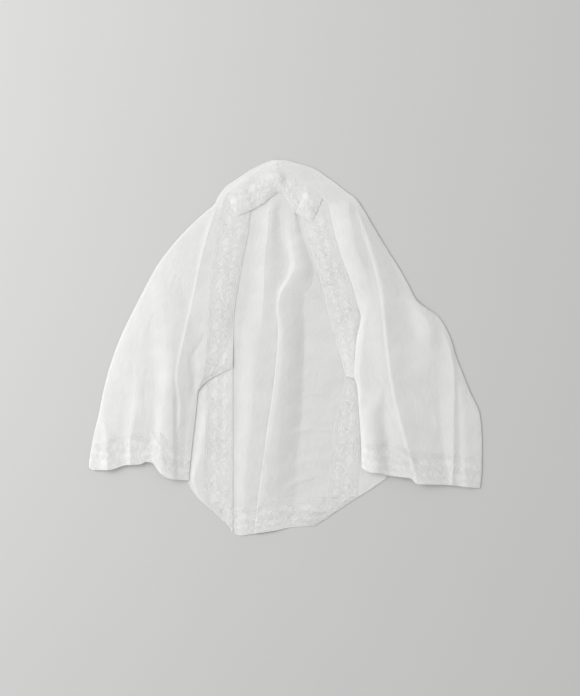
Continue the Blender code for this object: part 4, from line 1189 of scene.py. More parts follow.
@dataclass
class Stitches:
    """Running stitches of white thread along some lines, modelled once and joined from arrays."""

    name: str
    lines: List[Array]
    finish: Material
    pitch: float = 3.0
    length: float = 2.1
    radius: float = 0.28
    stand: float = 0.5 * LACE_THICKNESS + 0.1

    def places(self) -> Tuple[Array, Array]:
        """Return the middle of each stitch and the way that it runs.

        Returns:
            The middles, and the ways as vectors of length 1.
        """
        middles, ways = [], []
        for line in self.lines:
            walked = np.concatenate([[0.0], np.cumsum(np.linalg.norm(np.diff(line, axis=0), axis=1))])
            starts = np.arange(self.pitch, walked[-1] - self.pitch, self.pitch)
            ends = [np.stack([np.interp(starts + shift, walked, line[:, axis]) for axis in range(3)], axis=1)
                    for shift in (-0.5 * self.length, 0.5 * self.length)]
            middles.append((ends[0] + ends[1]) / 2.0)
            ways.append(ends[1] - ends[0])
        way = np.concatenate(ways)
        return np.concatenate(middles), way / np.maximum(np.linalg.norm(way, axis=1, keepdims=True), 1e-6)

    def in_order(self, mesh: bpy.types.Mesh) -> Tuple[Array, List[List[int]]]:
        """Return a mesh's points and faces sorted, because Blender's own order varies by the run.

        Args:
            mesh: the mesh of one stitch.

        Returns:
            The points, and each face's corners from the lowest.
        """
        points = np.array([vertex.co[:] for vertex in mesh.vertices])
        order = np.lexsort(np.round(points, 4).T)
        rank = np.argsort(order)
        faces = []
        for face in mesh.polygons:
            corners = [int(rank[i]) for i in face.vertices]
            first = corners.index(min(corners))
            faces.append(corners[first:] + corners[:first])
        return points[order], sorted(faces)

    def build(self) -> bpy.types.Object:
        """Return the joined stitches, which ride on the part.

        Returns:
            The finished object.
        """
        bpy.ops.object.select_all(action="DESELECT")
        bpy.ops.mesh.primitive_uv_sphere_add(segments=6, ring_count=4, radius=1.0)
        made = bpy.context.object
        made.name = self.name
        mesh = made.data
        mesh.name = self.name
        one, faces = self.in_order(mesh)
        middles, way = self.places()
        over = np.array([0.0, 0.0, 1.0]) - way * way[:, 2:]
        over /= np.linalg.norm(over, axis=1, keepdims=True)
        beside = np.cross(over, way)
        points = (middles[:, None] + over[:, None] * self.stand
                  + way[:, None] * one[None, :, :1] * self.length / 2.0
                  + beside[:, None] * one[None, :, 1:2] * self.radius
                  + over[:, None] * one[None, :, 2:] * self.radius)
        count = len(one)
        joined = [tuple(k * count + corner for corner in face) for k in range(len(middles)) for face in faces]
        mesh.clear_geometry()
        mesh.from_pydata((points.reshape(-1, 3) * MM).tolist(), [], joined)
        mesh.shade_smooth()
        mesh.materials.clear()
        mesh.materials.append(self.finish)
        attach(made, "root")
        log.info("%s: %d stitches", self.name, len(middles))
        return made


@dataclass
class Panel:
    """One cut piece of cloth as a grid of points, made into a thin closed shell."""

    name: str
    points: Array
    finish: Material
    left_out: Optional[Array] = None
    design: LaceDesign = LaceDesign()

    def __post_init__(self) -> None:
        """Look up the panel's cut, and its cloth by the end of its name."""
        self.cut = CUTS[self.name]
        self.cloth = Cloth.LACE if self.name.endswith("lace") else Cloth.GAUZE

    def cloth_place(self) -> Tuple[Array, Array]:
        """Return how far each point lies across and down the cloth, along its surface.

        Returns:
            Two arrays of distances, level over a lace band's width.
        """
        across = np.zeros(self.points.shape[:2])
        down = np.zeros(self.points.shape[:2])
        across[:, 1:] = np.cumsum(np.linalg.norm(np.diff(self.points, axis=1), axis=2), axis=1)
        down[1:, :] = np.cumsum(np.linalg.norm(np.diff(self.points, axis=0), axis=2), axis=0)
        if self.cloth is Cloth.LACE and self.cut.run is Run.DOWN:
            down = np.repeat(down[:, down.shape[1] // 2][:, None], down.shape[1], axis=1)
        elif self.cloth is Cloth.LACE:
            across = np.repeat(across[across.shape[0] // 2][None, :], across.shape[0], axis=0)
        return across, down

    def motif(self, across: Array, down: Array) -> Array:
        """Return the lace's thread height over the panel.

        Args:
            across: how far each point lies across the cloth.
            down: how far it lies down the cloth.

        Returns:
            A height between 0 and 1 at each point.
        """
        if self.cut.run is Run.DOWN:
            width = np.repeat(across[:, -1:], across.shape[1], axis=1)
            return np.maximum(self.design.height(down, across, width), self.design.border(across, width))
        width = np.repeat(down[-1:, :], down.shape[0], axis=0)
        return np.maximum(self.design.height(across, down, width), self.design.border(down, width))

    def ruffle_rise(self, x: Array, y: Array, across: Array) -> Array:
        """Return how far the lace's ruffle lifts each point, which is nothing along its edges.

        Args:
            x: the places' X.
            y: the places' Y.
            across: how far each point lies across the cloth.

        Returns:
            The rise at each point.
        """
        rough = sum(share * ruffle(x, y, pitch, seed) for pitch, seed, share in RUFFLES)
        from_edge = np.minimum(across, across[:, -1:] - across) if self.cut.run is Run.DOWN else RUFFLE_IN
        return RUFFLE_HEIGHT * (rough + RUFFLE_LIFT) * np.minimum(from_edge / RUFFLE_IN, 1.0)

    def build(self, sewing_thread: Material) -> None:
        """Args:
            sewing_thread: the material of the thread that lace is sewn with.
        """
        across, down = self.cloth_place()
        points = self.points.copy()
        thickness = GAUZE_THICKNESS
        thread = np.zeros(across.shape)
        if self.cloth is Cloth.LACE:
            thickness = LACE_THICKNESS
            thread = self.motif(across, down)
            points[..., 2] += self.design.relief * thread
            if self.cut.ruffled:
                points[..., 2] += self.ruffle_rise(points[..., 0], points[..., 1], across)
        rows, columns = across.shape
        bpy.ops.object.select_all(action="DESELECT")
        bpy.ops.mesh.primitive_grid_add(x_subdivisions=columns - 1, y_subdivisions=rows - 1, size=1.0)
        made = bpy.context.object
        made.name = self.name
        mesh = made.data
        mesh.name = self.name
        start = np.empty(len(mesh.vertices) * 3)
        mesh.vertices.foreach_get("co", start)
        start = start.reshape(-1, 3)
        c = np.rint((start[:, 0] + 0.5) * (columns - 1)).astype(int)
        r = np.rint((0.5 - start[:, 1]) * (rows - 1)).astype(int)
        mesh.vertices.foreach_set("co", (points[r, c] * MM).ravel())
        corners = np.empty(len(mesh.loops), dtype=int)
        mesh.loops.foreach_get("vertex_index", corners)
        places = np.stack([across[r, c], -down[r, c]], axis=1) * MM
        mesh.uv_layers[0].data.foreach_set("uv", places[corners].ravel())
        if self.cloth is Cloth.LACE:
            mesh.attributes.new("motif", "FLOAT", "POINT").data.foreach_set("value", thread[r, c])
        if self.left_out is not None:
            self.cut_away(made, self.left_out[r, c])
        shell = made.modifiers.new("thickness", "SOLIDIFY")
        shell.thickness = thickness * MM
        shell.offset = 0.0
        shell.use_rim = True
        bpy.ops.object.modifier_apply(modifier=shell.name)
        bpy.ops.object.shade_smooth_by_angle(angle=SMOOTH_BELOW)
        mesh.materials.clear()
        mesh.materials.append(self.finish)
        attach(made, "root")
        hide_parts(self.cut.node)
        if self.cloth is Cloth.LACE:
            lines = self.stitched_lines(points, across, down)
            Stitches(f"{self.name}_sewing", lines, sewing_thread).build()
        area = sum(face.area for face in mesh.polygons) / 2.0
        log.info("%s: %d faces, %.4f m2", self.name, len(mesh.polygons), area)

    def cut_away(self, made: bpy.types.Object, gone: Array) -> None:
        """Delete the grid's points that the cut leaves out.

        Args:
            made: the panel's object.
            gone: whether each point is left out.
        """
        model = bmesh.new()
        model.from_mesh(made.data)
        model.verts.ensure_lookup_table()
        bmesh.ops.delete(model, geom=[v for v in model.verts if gone[v.index]], context="VERTS")
        model.to_mesh(made.data)
        model.free()

    def stitched_lines(self, points: Array, across: Array, down: Array) -> List[Array]:
        """Return the double rows of sewing near both edges, as points along each row.

        Args:
            points: the panel's points.
            across: how far each lies across the cloth.
            down: how far each lies down the cloth.

        Returns:
            One line of points for each row.
        """
        runs_down = self.cut.run is Run.DOWN
        place, grid = (across, points) if runs_down else (down.T, points.transpose(1, 0, 2))
        lines = []
        for inset in SEWING_INSETS:
            for from_free in (False, True):
                lines.append(np.array([[np.interp(row[-1] - inset if from_free else inset, row, line[:, axis])
                                        for axis in range(3)] for row, line in zip(place, grid)]))
        return lines


class Side:
    """One front with its sleeve: its edges, folds and the height that it lies at."""

    settle_reach: float
    fold_begins: float

    def __init__(self, edges: Sequence[Edge], folds: Dict[str, FoldRows], puff: Knots, neck_rise: Knots,
                 cuff_seam: Knots, cuff_end: Knots, creases: Sequence[Crease]) -> None:
        """Read the front's tables.

        Args:
            edges: its outer and inner edges.
            folds: its folds by name.
            puff: how high its cloth stands away from its edges.
            neck_rise: how high its turned-over neck stands.
            cuff_seam: the line where its cuff starts.
            cuff_end: the line where its cuff ends.
            creases: its small creases.
        """
        self.outer = column(edges, "outer")
        self.inner = column(edges, "inner")
        self.folds = {name: FoldLine(given) for name, given in folds.items()}
        self.rest = self.inner
        self.puff = Curve(puff)
        self.neck_rise = Curve(neck_rise)
        self.cuff_seam = Curve(cuff_seam)
        self.cuff_end = Curve(cuff_end)
        self.creases = creases

    def guide(self, name: str, y: Array, shift: float = 0.0) -> Array:
        """Return a fold's X, squeezed between the edges above the first section of folds.

        Args:
            name: the fold's name.
            y: the places' Y.
            shift: how far beside the crest to go.

        Returns:
            The X at each Y.
        """
        at = np.minimum(y, FOLDS_BEGIN)
        outer, inner = self.outer(at), self.inner(at)
        x = self.folds[name].x(at) + shift * np.minimum(np.abs(outer - inner) / SHIFT_WIDTH, 1.0)
        share = (x - outer) / (inner - outer)
        squeezed = self.outer(y) + share * (self.inner(y) - self.outer(y))
        return np.where(y > FOLDS_BEGIN, squeezed, x)

    def under(self, x: Array, y: Array) -> Array:
        """Return the height of what this front lies on, above the back's own layer."""
        return np.zeros_like(x)

    def height(self, x: Array, y: Array) -> Array:
        """Return the middle of the solid's wall at each place.

        Args:
            x: the places' X.
            y: the places' Y.

        Returns:
            The height at each place.
        """
        outer, inner = self.outer(y), self.inner(y)
        inset = np.abs(x - outer)
        across = np.clip(inset / np.abs(inner - outer), 0.0, 1.0)
        neck = smooth_step(0.0, 1.0, across) * self.neck_rise(y)
        puff = self.puff(y) * (1.0 - np.exp(-inset / EDGE_PUFF_REACH))
        from_rest = (self.rest(y) - x) * np.sign(inner - outer)
        flat_share = 1.0 - np.clip(from_rest / self.settle_reach, 0.0, 1.0)
        folded = 1.0 - smooth_step(FOLDS_BEGIN, FOLDS_BEGIN + FOLDS_EASE, y)
        settle = (1.0 - flat_share ** 2) * folded
        folds = sum(one.rise(x, y) for one in self.folds.values())
        return FRONT_Z + self.under(x, y) + neck + puff * settle + folds * folded

    def surface(self, x: Array, y: Array) -> Array:
        """Return the points of the thin cloth, rolled down at its outer fold.

        Args:
            x: the places' X.
            y: the places' Y.

        Returns:
            The points, with their small creases and settled edges.
        """
        z = self.height(x, y) + crease_rise(self.creases, x, y)
        z -= settled(np.abs(x - self.outer(y)), ROLL_DROP, ROLL_IN) + self.edge_drop(x, y)
        return np.stack([x, y, z], axis=-1)

    def edge_drop(self, x: Array, y: Array) -> Array:
        """Return how far the inner fold below the front's opening settles on what it lies on."""
        return settled(np.abs(x - self.inner(y)), INNER_DROP, INNER_IN) * (y < self.fold_begins)


class LeftSide(Side):
    """The left front, whose lower part hangs over the lower front in a tuck."""

    settle_reach = 78.0
    fold_begins = -69.0
    tuck = Curve(LEFT_TUCK)
    band = Curve(BAND_LEFT_INNER)

    def __init__(self, *tables: object) -> None:
        """Read the front's tables, and the line where its cloth comes to rest."""
        super().__init__(*tables)
        self.rest = Curve(LEFT_REST)

    def edge_drop(self, x: Array, y: Array) -> Array:
        """Return how far the inner fold, the tuck's edge and the band's edge settle.

        Args:
            x: the places' X.
            y: the places' Y.

        Returns:
            The drop at each place.
        """
        drop = TUCK_DROP + TUCK_SINK * smooth_step(*TUCK_SINKS_BETWEEN, x)
        tucked = settled(y - self.tuck(x), 1.0, INNER_IN) * drop * (x > TUCK_START[0])
        banded = settled(self.band(y) - x, BAND_DROP, BAND_IN)
        return np.maximum(np.maximum(super().edge_drop(x, y), tucked), banded)

    def under(self, x: Array, y: Array) -> Array:
        """Return the lower front's height, below the tuck.

        Args:
            x: the places' X.
            y: the places' Y.

        Returns:
            The height at each place.
        """
        tuck = self.tuck(x)
        over = 1.0 - smooth_step(tuck + TUCK_STACK[0], tuck + TUCK_STACK[1], y)
        return LAYER * over * smooth_step(*LEFT_STACK_EDGE, x)


class RightSide(Side):
    """The right front, whose sleeve fold lies over the front band."""

    settle_reach = 26.0
    fold_begins = 60.0

    def under(self, x: Array, y: Array) -> Array:
        """Return the height of the bands under the sleeve fold.

        Args:
            x: the places' X.
            y: the places' Y.

        Returns:
            The height at each place.
        """
        over = 1.0 - smooth_step(*RIGHT_STACK_TOP, y)
        start = RIGHT_STACK_EDGE[0] + RIGHT_CORNER_SHIFT * (1.0 - smooth_step(*RIGHT_CORNER, y))
        return 2.0 * LAYER * over * (1.0 - smooth_step(start, RIGHT_STACK_EDGE[1], x))


@dataclass
class Front:
    """One front with its sleeve, its cuff front and its upper lace band."""

    side: Side
    gauze: Material
    lace: Material
    hand: str = ""
    counts: Tuple[int, ...] = ()
    guides: Tuple[Tuple[str, float], ...] = ()
    sleeve_end: float = 0.0
    cuff_length: float = 0.0
    row_step: float = 3.0
    lace_step: float = 0.95
    band_columns: int = 52

    def columns(self, counts: Sequence[int]) -> Array:
        """Return the sleeve's columns at every section, from its left edge to its right one.

        Args:
            counts: how many steps lie between each two folds.

        Returns:
            The X of each column at each of SECTIONS.
        """
        ends = [self.side.outer(SECTIONS), self.side.inner(SECTIONS)][::1 if self.hand == "left" else -1]
        folds = [self.side.guide(name, SECTIONS, shift) for name, shift in self.guides]
        return between(spread([ends[0]] + folds + [ends[1]], counts), counts)

    def rows(self) -> Rows:
        """Return the row lines of the front and its sleeve."""
        raise NotImplementedError

    def band(self) -> Array:
        """Return the upper band's points."""
        raise NotImplementedError

    def panels(self) -> List[Panel]:
        """Return the front's three panels."""
        side = self.side
        front = side.surface(*lay(self.rows(), self.columns(self.counts)))
        cuff_rows = Rows(side.cuff_seam, self.lace_step).down_to(side.cuff_end, self.cuff_length)
        cuff = side.surface(*lay(cuff_rows, self.columns([CUFF_FINER * count for count in self.counts])))
        return [Panel(f"{self.hand}_front_gauze", front, self.gauze),
                Panel(f"{self.hand}_cuff_lace", cuff, self.lace),
                Panel(f"{self.hand}_front_lace", self.band(), self.lace)]


@dataclass
class LeftFront(Front):
    """The left front, whose rows bend down to the tuck's edge."""

    side: LeftSide
    hand: str = "left"
    counts: Tuple[int, ...] = (6, 10, 14, 6, 6, 7, 10, 6)
    guides: Tuple[Tuple[str, float], ...] = (("outer", 0), ("spine", 0), ("shelf", 0), ("drop", 0),
                                             ("ridge", -5), ("ridge", 0), ("groove", 0))
    sleeve_end: float = 85.0
    cuff_length: float = 50.0
    band_top: float = 243.0

    def tucked(self, y: float) -> Line:
        """Return a row line that bends towards the tuck as it comes down.

        Args:
            y: the line's level beyond the tuck.

        Returns:
            The row line.
        """
        start_x, start_y = TUCK_START
        share = float(smooth_step(TUCK_BEND_FROM, start_y, np.array(y)))
        tuck = self.side.tuck
        return lambda x: np.where(x > start_x, y + share * np.maximum(tuck(x) - start_y, 0.0), y)

    def tucked_rows(self, top: float, step: float) -> Rows:
        """Return the row lines from one level down to the tuck's edge.

        Args:
            top: the level of the first row.
            step: how far apart the rows lie.

        Returns:
            The rows.
        """
        rows = Rows(level(top), step).down_to(level(TUCK_BEND_FROM), top - TUCK_BEND_FROM)
        length = TUCK_BEND_FROM - TUCK_START[1]
        steps = round(length / step)
        rows.lines += [self.tucked(TUCK_BEND_FROM - length * (k + 1) / steps) for k in range(steps)]
        return rows

    def rows(self) -> Rows:
        """Return the row lines of the front and its sleeve."""
        return self.tucked_rows(NECK_TOP, self.row_step).down_to(self.side.cuff_seam, self.sleeve_end)

    def band(self) -> Array:
        """Return the upper band's points, which end at the tuck's edge."""
        start = self.side.inner(SECTIONS)
        ends = (start, np.maximum(self.side.band(SECTIONS), start + BAND_LEAST))
        rows = self.tucked_rows(self.band_top, self.lace_step)
        return self.side.surface(*lay(rows, between(ends, (self.band_columns,))))


@dataclass
class RightFront(Front):
    """The right front, whose band runs under the sleeve fold."""

    side: RightSide
    hand: str = "right"
    counts: Tuple[int, ...] = (6, 8, 10, 3, 6, 8, 8, 6, 5, 6)
    guides: Tuple[Tuple[str, float], ...] = (("inner", 0), ("cone", 0), ("drape", -5), ("drape", 0),
                                             ("drape", 12), ("soft", 0), ("far", -9), ("far", 0), ("last", 0))
    sleeve_top: float = -66.0
    sleeve_end: float = 95.0
    cuff_length: float = 52.0
    band_top: float = 239.0
    band_foot: float = -40.0

    def rows(self) -> Rows:
        """Return the row lines of the front and its sleeve."""
        rows = Rows(level(NECK_TOP), self.row_step)
        rows.down_to(level(self.sleeve_top), NECK_TOP - self.sleeve_top)
        return rows.down_to(self.side.cuff_seam, self.sleeve_end)

    def band(self) -> Array:
        """Return the upper band's points, which run under the sleeve fold."""
        inner, side = Curve(BAND_RIGHT_INNER), self.side
        hidden = BAND_HIDDEN * (1.0 - smooth_step(*BAND_HIDES_BETWEEN, SECTIONS))
        columns = between((inner(SECTIONS), side.inner(SECTIONS) + hidden), (self.band_columns,))
        rows = Rows(level(self.band_top), self.lace_step)
        rows.down_to(level(self.band_foot), self.band_top - self.band_foot)
        rows.down_to(lambda x: BAND_END[1] + BAND_END_SLOPE * (x - BAND_END[0]), BAND_END_LENGTH)
        x, y = lay(rows, columns)
        share = smooth_step(0.0, 1.0, (x - inner(y)) / (side.inner(y) - inner(y)))
        at = np.clip(y, BAND_SEAM_END, BAND_SEAM_START)
        seam = side.height(side.inner(at), at) - BACK_Z - LAYER
        lap = LAYER * (1.0 - smooth_step(*BAND_LAPS_BETWEEN, y))
        swell = Curve(BAND_SWELL)(y) * (1.0 - share)
        z = FRONT_Z + lap + seam * share + swell - settled(x - inner(y), BAND_DROP, BAND_IN)
        return np.stack([x, y, z], axis=-1)[:, ::-1]


@dataclass
class LowerFronts:
    """What shows of both fronts below the tucks, with their lace bands."""

    gauze: Material
    lace: Material
    gauze_step: float = 2.5
    lace_step: float = 0.95
    gauze_columns: int = 14
    left_columns: int = 48
    right_columns: int = 50
    left_feet: Tuple[float, float] = (-249.0, -294.0)
    left_lengths: Tuple[float, float] = (200.0, 250.0)
    right_top: float = -36.0
    right_feet: Tuple[float, float] = (-240.0, -268.0)

    def laid(self, rows: Rows, ends: Sequence[Array], columns: int, *folds: FoldRows) -> Array:
        """Return the points of cloth that lies on the back.

        Args:
            rows: the row lines.
            ends: the X of its two edges at every section.
            columns: how many steps lie between them.
            folds: the tables of its folds.

        Returns:
            The grid's points.
        """
        x, y = lay(rows, between(ends, (columns,)))
        rise = sum((FoldLine(one).rise(x, y) for one in folds), np.zeros_like(x))
        return np.stack([x, y, FRONT_Z - LOWER_DROP + rise], axis=-1)

    def left(self) -> List[Panel]:
        """Return the left front's two panels below the tuck."""
        hidden, seam = Curve(LOWER_LEFT_HIDDEN)(SECTIONS), Curve(LOWER_LEFT_SEAM)(SECTIONS)
        seam = np.maximum(seam, hidden + FOLD_MARGIN)
        edge = np.full_like(seam, LOWER_LEFT_INNER)
        top = Curve([(x, y + TUCK_LAP) for x, y in LEFT_TUCK])
        gauze_rows = Rows(top, self.gauze_step).down_to(level(self.left_feet[0]), self.left_lengths[0])
        lace_rows = Rows(top, self.lace_step).down_to(level(self.left_feet[1]), self.left_lengths[1])
        gauze = self.laid(gauze_rows, (hidden, seam), self.gauze_columns, LOWER_FOLD)
        lace = self.laid(lace_rows, (seam, edge), self.left_columns, LOWER_FOLD)
        return [Panel("left_lower_gauze", gauze, self.gauze), Panel("left_lower_lace", lace, self.lace)]

    def right(self) -> List[Panel]:
        """Return the right front's two panels below the sleeve fold."""
        hidden, inner = Curve(LOWER_RIGHT_HIDDEN)(SECTIONS), Curve(LOWER_RIGHT_INNER)(SECTIONS)
        seam = np.minimum(Curve(LOWER_RIGHT_SEAM)(SECTIONS), hidden - FOLD_MARGIN)
        gauze_rows, lace_rows = (Rows(level(self.right_top), step).down_to(level(foot), self.right_top - foot)
                                 for step, foot in zip((self.gauze_step, self.lace_step), self.right_feet))
        gauze = self.laid(gauze_rows, (seam, hidden), self.gauze_columns)
        lace = self.laid(lace_rows, (inner, seam), self.right_columns)[:, ::-1]
        return [Panel("right_lower_gauze", gauze, self.gauze), Panel("right_lower_lace", lace, self.lace)]


@dataclass
class Back:
    """The back with its sleeve halves, a soft roll and a lapped pleat."""

    left: Side
    right: Side
    gauze: Material
    lace: Material
    row_step: float = 3.0
    lace_step: float = 1.0
    cuff_step: float = 1.8
    sleeve_columns: int = 30
    flank_columns: int = 16
    shelf_columns: int = 24
    pleat_columns: int = 4
    fall_columns: int = 32
    right_columns: int = 28
    cuff_columns: int = 70
    sleeve_top: float = -75.0
    sleeve_end: float = 85.0
    body_top: float = -203.0
    body_end: float = 45.0
    hem_length: float = 46.0
    cuff_length: float = 46.8

    def fade(self, y: Array) -> Array:
        """Return how much of a fold shows, none of it under the collar."""
        return 1.0 - smooth_step(*FADE_BETWEEN, y)

    def pleat_table(self, y: Array) -> Tuple[Array, Array]:
        """Return the X and height of the columns round the pleat at some sections.

        Args:
            y: the sections' Y.

        Returns:
            The X and the heights, with a row for each section.
        """
        edge, lap = column(BACK_PLEAT, "x")(y), column(BACK_PLEAT, "lap")(y)
        flank = np.maximum(column(BACK_PLEAT, "flank")(y), PLEAT_LEAST_FLANK)
        crest = column(BACK_PLEAT, "crest")(y) * self.fade(y)
        folded = smooth_step(*PLEAT_LAPS_BETWEEN, lap)
        top_level, top_x = PLEAT_STOPS[-1].level, PLEAT_STOPS[-1].folded_x
        xs, zs = [], []
        for stop in PLEAT_STOPS:
            lapped = stop.lap_share * np.maximum(lap, PLEAT_LEAST_LAP) + stop.folded_x
            xs.append(edge + (1.0 - folded) * stop.open_x * flank + folded * lapped)
            over = crest * (stop.folded_x / top_x) if stop.level >= top_level else 0.0
            high = stop.level * PLEAT_LEVEL + over
            zs.append(BACK_Z + (1.0 - folded) * crest * stop.open_rise + folded * high)
        return tuple(smooth_between(np.stack(values, axis=1), self.pleat_columns) for values in (xs, zs))

    def tables(self) -> Tuple[Array, Array, int]:
        """Return every column of the back at every section.

        Returns:
            The columns' X, their heights, and the first column of the body.
        """
        y = np.minimum(SECTIONS, FOLDS_BEGIN)
        roll = {name: column(BACK_ROLL, name)(y) for name in ("x", "height", "left", "shelf")}
        outer = (self.left.outer(y), self.right.outer(y))
        body = (Curve(BODY_LEFT)(y), Curve(BODY_RIGHT)(y))
        pleat_x, pleat_z = self.pleat_table(y)
        pleat_z = pleat_z + roll["shelf"][:, None]
        foot = roll["x"] - roll["left"]
        first = between((outer[0], body[0]), (self.sleeve_columns,))[:, :-1]
        flank = between((body[0], foot, roll["x"]), (self.flank_columns,) * 2)
        share = np.clip((roll["x"][:, None] - flank) / roll["left"][:, None], 0.0, 1.0)
        keen = smooth_step(*KEEN_BETWEEN, y)[:, None]
        flank_z = come_down(Slope.SOFT, share) * (1.0 - keen) + come_down(Slope.KEEN, share) * keen
        flank_z = BACK_Z + roll["height"][:, None] * flank_z
        shelf = between((roll["x"], pleat_x[:, 0]), (self.shelf_columns,))[:, 1:-1]
        ease = smooth_step(SHELF_STARTS, 1.0, shares(self.shelf_columns)[:-1])[None, :]
        shelf_z = BACK_Z + roll["height"][:, None] * (1.0 - ease) + roll["shelf"][:, None] * ease
        band = Curve(BAND_RIGHT_INNER + LOWER_RIGHT_INNER[2:])(y)
        end = np.minimum(Curve(FALL_END)(y), band - BAND_CLEAR)
        end = np.maximum(end, pleat_x[:, -1] + PLEAT_HOLD)
        swell = Curve(BAND_SWELL)(y)[:, None]
        fall = between((pleat_x[:, -1], end), (self.fall_columns,))[:, 1:]
        eased = come_down(Slope.ROUND, shares(self.fall_columns))[None, :]
        fall_z = BACK_Z + swell + (pleat_z[:, -1:] - BACK_Z - swell) * eased
        right = between((end, body[1]), (self.right_columns,))[:, 1:]
        right_z = BACK_Z + swell * (1.0 - smooth_step(0.0, SWELL_SHARE, shares(self.right_columns)))
        last = between((body[1], outer[1]), (self.sleeve_columns,))[:, 1:]
        x = np.concatenate([first, flank, shelf, pleat_x, fall, right, last], axis=1)
        z = np.concatenate([np.full_like(first, BACK_Z), flank_z, shelf_z, pleat_z, fall_z, right_z,
                            np.full_like(last, BACK_Z)], axis=1)
        top = (SECTIONS > FOLDS_BEGIN)[:, None]
        edges = (self.left.outer(SECTIONS), self.right.outer(SECTIONS))
        scale = (edges[1] - edges[0]) / (outer[1] - outer[0])
        squeezed = edges[0][:, None] + (x - outer[0][:, None]) * scale[:, None]
        faded = BACK_Z + (z - BACK_Z) * self.fade(SECTIONS)[:, None]
        return np.where(top, squeezed, x), np.where(top, faded, z), first.shape[1]

    def surface(self, rows: Rows, x_table: Array, z_table: Array) -> Array:
        """Return the points where row lines cross the back's columns.

        Args:
            rows: the row lines.
            x_table: the columns' X at each of SECTIONS.
            z_table: their heights there.

        Returns:
            The grid's points.
        """
        x, y = lay(rows, x_table)
        z = read_columns(z_table, y) + crease_rise(BACK_CREASES, x, y)
        return np.stack([x, y, z], axis=-1)

    def cuff_back(self, hand: str, seam: Array) -> Panel:
        """Return one cuff back, which goes down from the end of the back's sleeve.

        Args:
            hand: left or right.
            seam: the points of the sleeve's last row.

        Returns:
            The panel, just short of the cuff's front.
        """
        side, end, body, clear = {
            "left": (self.left, LEFT_CUFF_END, BODY_LEFT, -CUFF_BACK_CLEAR),
            "right": (self.right, RIGHT_CUFF_END, BODY_RIGHT, CUFF_BACK_CLEAR),
        }[hand]
        finish = Curve([(x, y + CUFF_BACK_SHORT) for x, y in end])
        ends = (side.outer(SECTIONS), Curve(body)(SECTIONS) + clear)[::1 if hand == "left" else -1]
        rows = Rows(Curve([(p[0], p[1]) for p in seam]), self.cuff_step).down_to(finish, self.cuff_length)
        x, y = lay(rows, between(ends, (self.cuff_columns,)))
        points = np.stack([x, y, np.full_like(x, BACK_Z)], axis=-1)
        return Panel(f"{hand}_cuff_back_lace", points, self.lace)

    def panels(self) -> List[Panel]:
        """Return the back, the hem band and the two cuff backs."""
        left_line = [(x, y + BACK_SEAM_IN) for x, y in LEFT_CUFF_SEAM if x < BACK_CORNER_LEFT[0]]
        right_line = [(x, y + BACK_SEAM_IN) for x, y in RIGHT_CUFF_SEAM if x > RIGHT_SEAM_FROM]
        across = Curve(left_line + [BACK_CORNER_LEFT, BACK_CORNER_RIGHT] + right_line)
        hem_seam, hem_end = Curve(HEM_SEAM), Curve(HEM_END)
        rows = Rows(level(NECK_TOP), self.row_step)
        rows.down_to(level(self.sleeve_top), NECK_TOP - self.sleeve_top)
        rows.down_to(across, self.sleeve_end)
        last = len(rows.lines) - 1
        rows.down_to(level(self.body_top), self.body_end).down_to(hem_seam, self.body_end)
        x_table, z_table, body_start = self.tables()
        points = self.surface(rows, x_table, z_table)
        body_end = points.shape[1] - self.sleeve_columns
        gone = np.zeros(points.shape[:2], dtype=bool)
        gone[last + 1:, :body_start] = True
        gone[last + 1:, body_end:] = True
        hem_rows = Rows(hem_seam, self.lace_step).down_to(hem_end, self.hem_length)
        hem = self.surface(hem_rows, x_table, z_table)[:, body_start:body_end]
        return [Panel("back_gauze", points, self.gauze, left_out=gone), Panel("hem_lace", hem, self.lace),
                self.cuff_back("left", points[last, :body_start + 1]),
                self.cuff_back("right", points[last, body_end - 1:])]


@dataclass
class Collar:
    """The lace collar, sewn along the turned-over neck and folded at the centre back."""

    left: Side
    right: Side
    lace: Material
    length_steps: int = 170
    width_steps: int = 46

    def panel(self) -> Panel:
        """Return the collar's panel."""
        seam, edge, middle = [], [], []
        for side, rows in ((self.left, LEFT_COLLAR), (self.right, RIGHT_COLLAR)):
            for row in rows:
                x, y = np.array(float(side.inner(row.seam_y))), np.array(float(row.seam_y))
                seam.append((float(x), row.seam_y, float(side.height(x, y))))
                edge.append((row.edge_x, row.edge_y, row.edge_z))
                middle.append(row.middle_z)
        pace = np.linspace(0.0, len(seam) - 1.0, self.length_steps + 1)

        def eased(values: Sequence[float]) -> Array:
            """Return values eased along the collar."""
            return Curve(list(enumerate(values)))(pace)

        seam_line, edge_line = (np.stack([eased(values) for values in zip(*line)], axis=1)
                                for line in (seam, edge))
        share = np.linspace(0.0, 1.0, self.width_steps + 1)[:, None, None]
        points = seam_line[None] * (1.0 - share) + edge_line[None] * share
        arch = eased(middle) - (seam_line[:, 2] + edge_line[:, 2]) / 2.0
        share = share[..., 0]
        points[..., 2] += 4.0 * share * (1.0 - share) * arch[None]
        at_end = np.maximum(settled(pace, START_DROP, START_IN), settled(pace[-1] - pace, END_DROP, END_IN))
        points[..., 2] -= np.maximum(settled(1.0 - share, EDGE_DROP, EDGE_IN),
                                     at_end[None, :] * smooth_step(0.0, ENDS_BEGIN, share))
        points[..., 2] += crease_rise(COLLAR_CREASES, points[..., 0], points[..., 1])
        return Panel("collar_lace", points, self.lace)


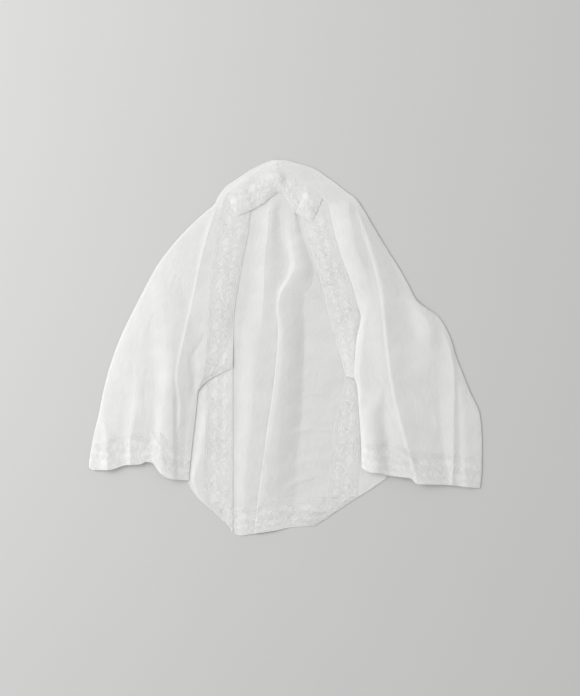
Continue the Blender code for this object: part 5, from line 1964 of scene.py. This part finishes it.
@dataclass
class Studio:
    """The pale table, the soft lights and the camera straight above."""

    camera_height: float = 2.6
    frame_length: float = 1.1136
    centre: Tuple[float, float] = (0.00736, -0.00016)
    key_place: Tuple[float, float, float] = (-2.2, 0.8, 1.85)
    key_width: float = 2.0
    key_power: float = 80.0
    sky: float = 0.665
    sensor: float = 36.0
    table_width: float = 14.0
    far_clip: float = 50.0

    def build(self) -> None:
        """Make the table, the lights, the surroundings and the camera."""
        bpy.ops.object.select_all(action="DESELECT")
        bpy.ops.mesh.primitive_plane_add(size=self.table_width, location=(0.0, 0.0, 0.0))
        floor = bpy.context.object
        floor.name = "table_top"
        floor.data.materials.append(FloorFinish("pale_table").material())
        bpy.ops.object.light_add(type="AREA", location=self.key_place)
        key = bpy.context.object
        key.name = "window_light"
        key.data.shape = "SQUARE"
        key.data.size = self.key_width
        key.data.energy = self.key_power
        key.rotation_euler = (-Vector(self.key_place)).to_track_quat("-Z", "Y").to_euler()
        world = bpy.data.worlds.new("studio")
        bpy.context.scene.world = world
        world.use_nodes = True
        sky = world.node_tree.nodes["Background"]
        sky.inputs["Color"].default_value = (1.0, 1.0, 1.0, 1.0)
        sky.inputs["Strength"].default_value = self.sky
        bpy.ops.object.camera_add(location=(self.centre[0], self.centre[1], self.camera_height))
        camera = bpy.context.object
        camera.name = "overhead_camera"
        camera.data.sensor_width = self.sensor
        camera.data.lens = self.sensor * self.camera_height / self.frame_length
        camera.data.clip_end = self.far_clip
        bpy.context.scene.camera = camera
        bpy.context.scene.view_settings.view_transform = "Standard"


def main() -> None:
    """Build the bolero and its studio in order."""
    gauze = GauzeFinish("sheer_gauze").material()
    # Painted shade: the back's gauze is the fronts' cloth drawn darker, so that its single layer looks dimmer
    # than the fronts.
    painted_shade_back_gauze = GauzeFinish("sheer_gauze_back_painted_shade", cotton(0.85, 0.008), cotton(0.81, 0.008)).material()
    lace = LaceFinish("cotton_lace").material()
    doubled = LaceFinish("doubled_lace", cotton(0.935, 0.01), cotton(0.87, 0.01)).material()
    left = LeftSide(LEFT_EDGES, LEFT_FOLDS, LEFT_PUFF, LEFT_NECK_RISE, LEFT_CUFF_SEAM, LEFT_CUFF_END,
                    LEFT_CREASES)
    right = RightSide(RIGHT_EDGES, RIGHT_FOLDS, RIGHT_PUFF, RIGHT_NECK_RISE, RIGHT_CUFF_SEAM,
                      RIGHT_CUFF_END, RIGHT_CREASES)
    lower = LowerFronts(gauze, lace)
    panels = Back(left, right, painted_shade_back_gauze, lace).panels()
    panels += LeftFront(left, gauze, lace).panels() + RightFront(right, gauze, lace).panels()
    panels += lower.left() + lower.right() + [Collar(left, right, doubled).panel()]
    thread = ThreadFinish("sewing_thread").material()
    for panel in panels:
        panel.build(thread)
    Studio().build()


if __name__ == "__main__":
    logging.basicConfig(level=logging.INFO, format="%(message)s")
    main()
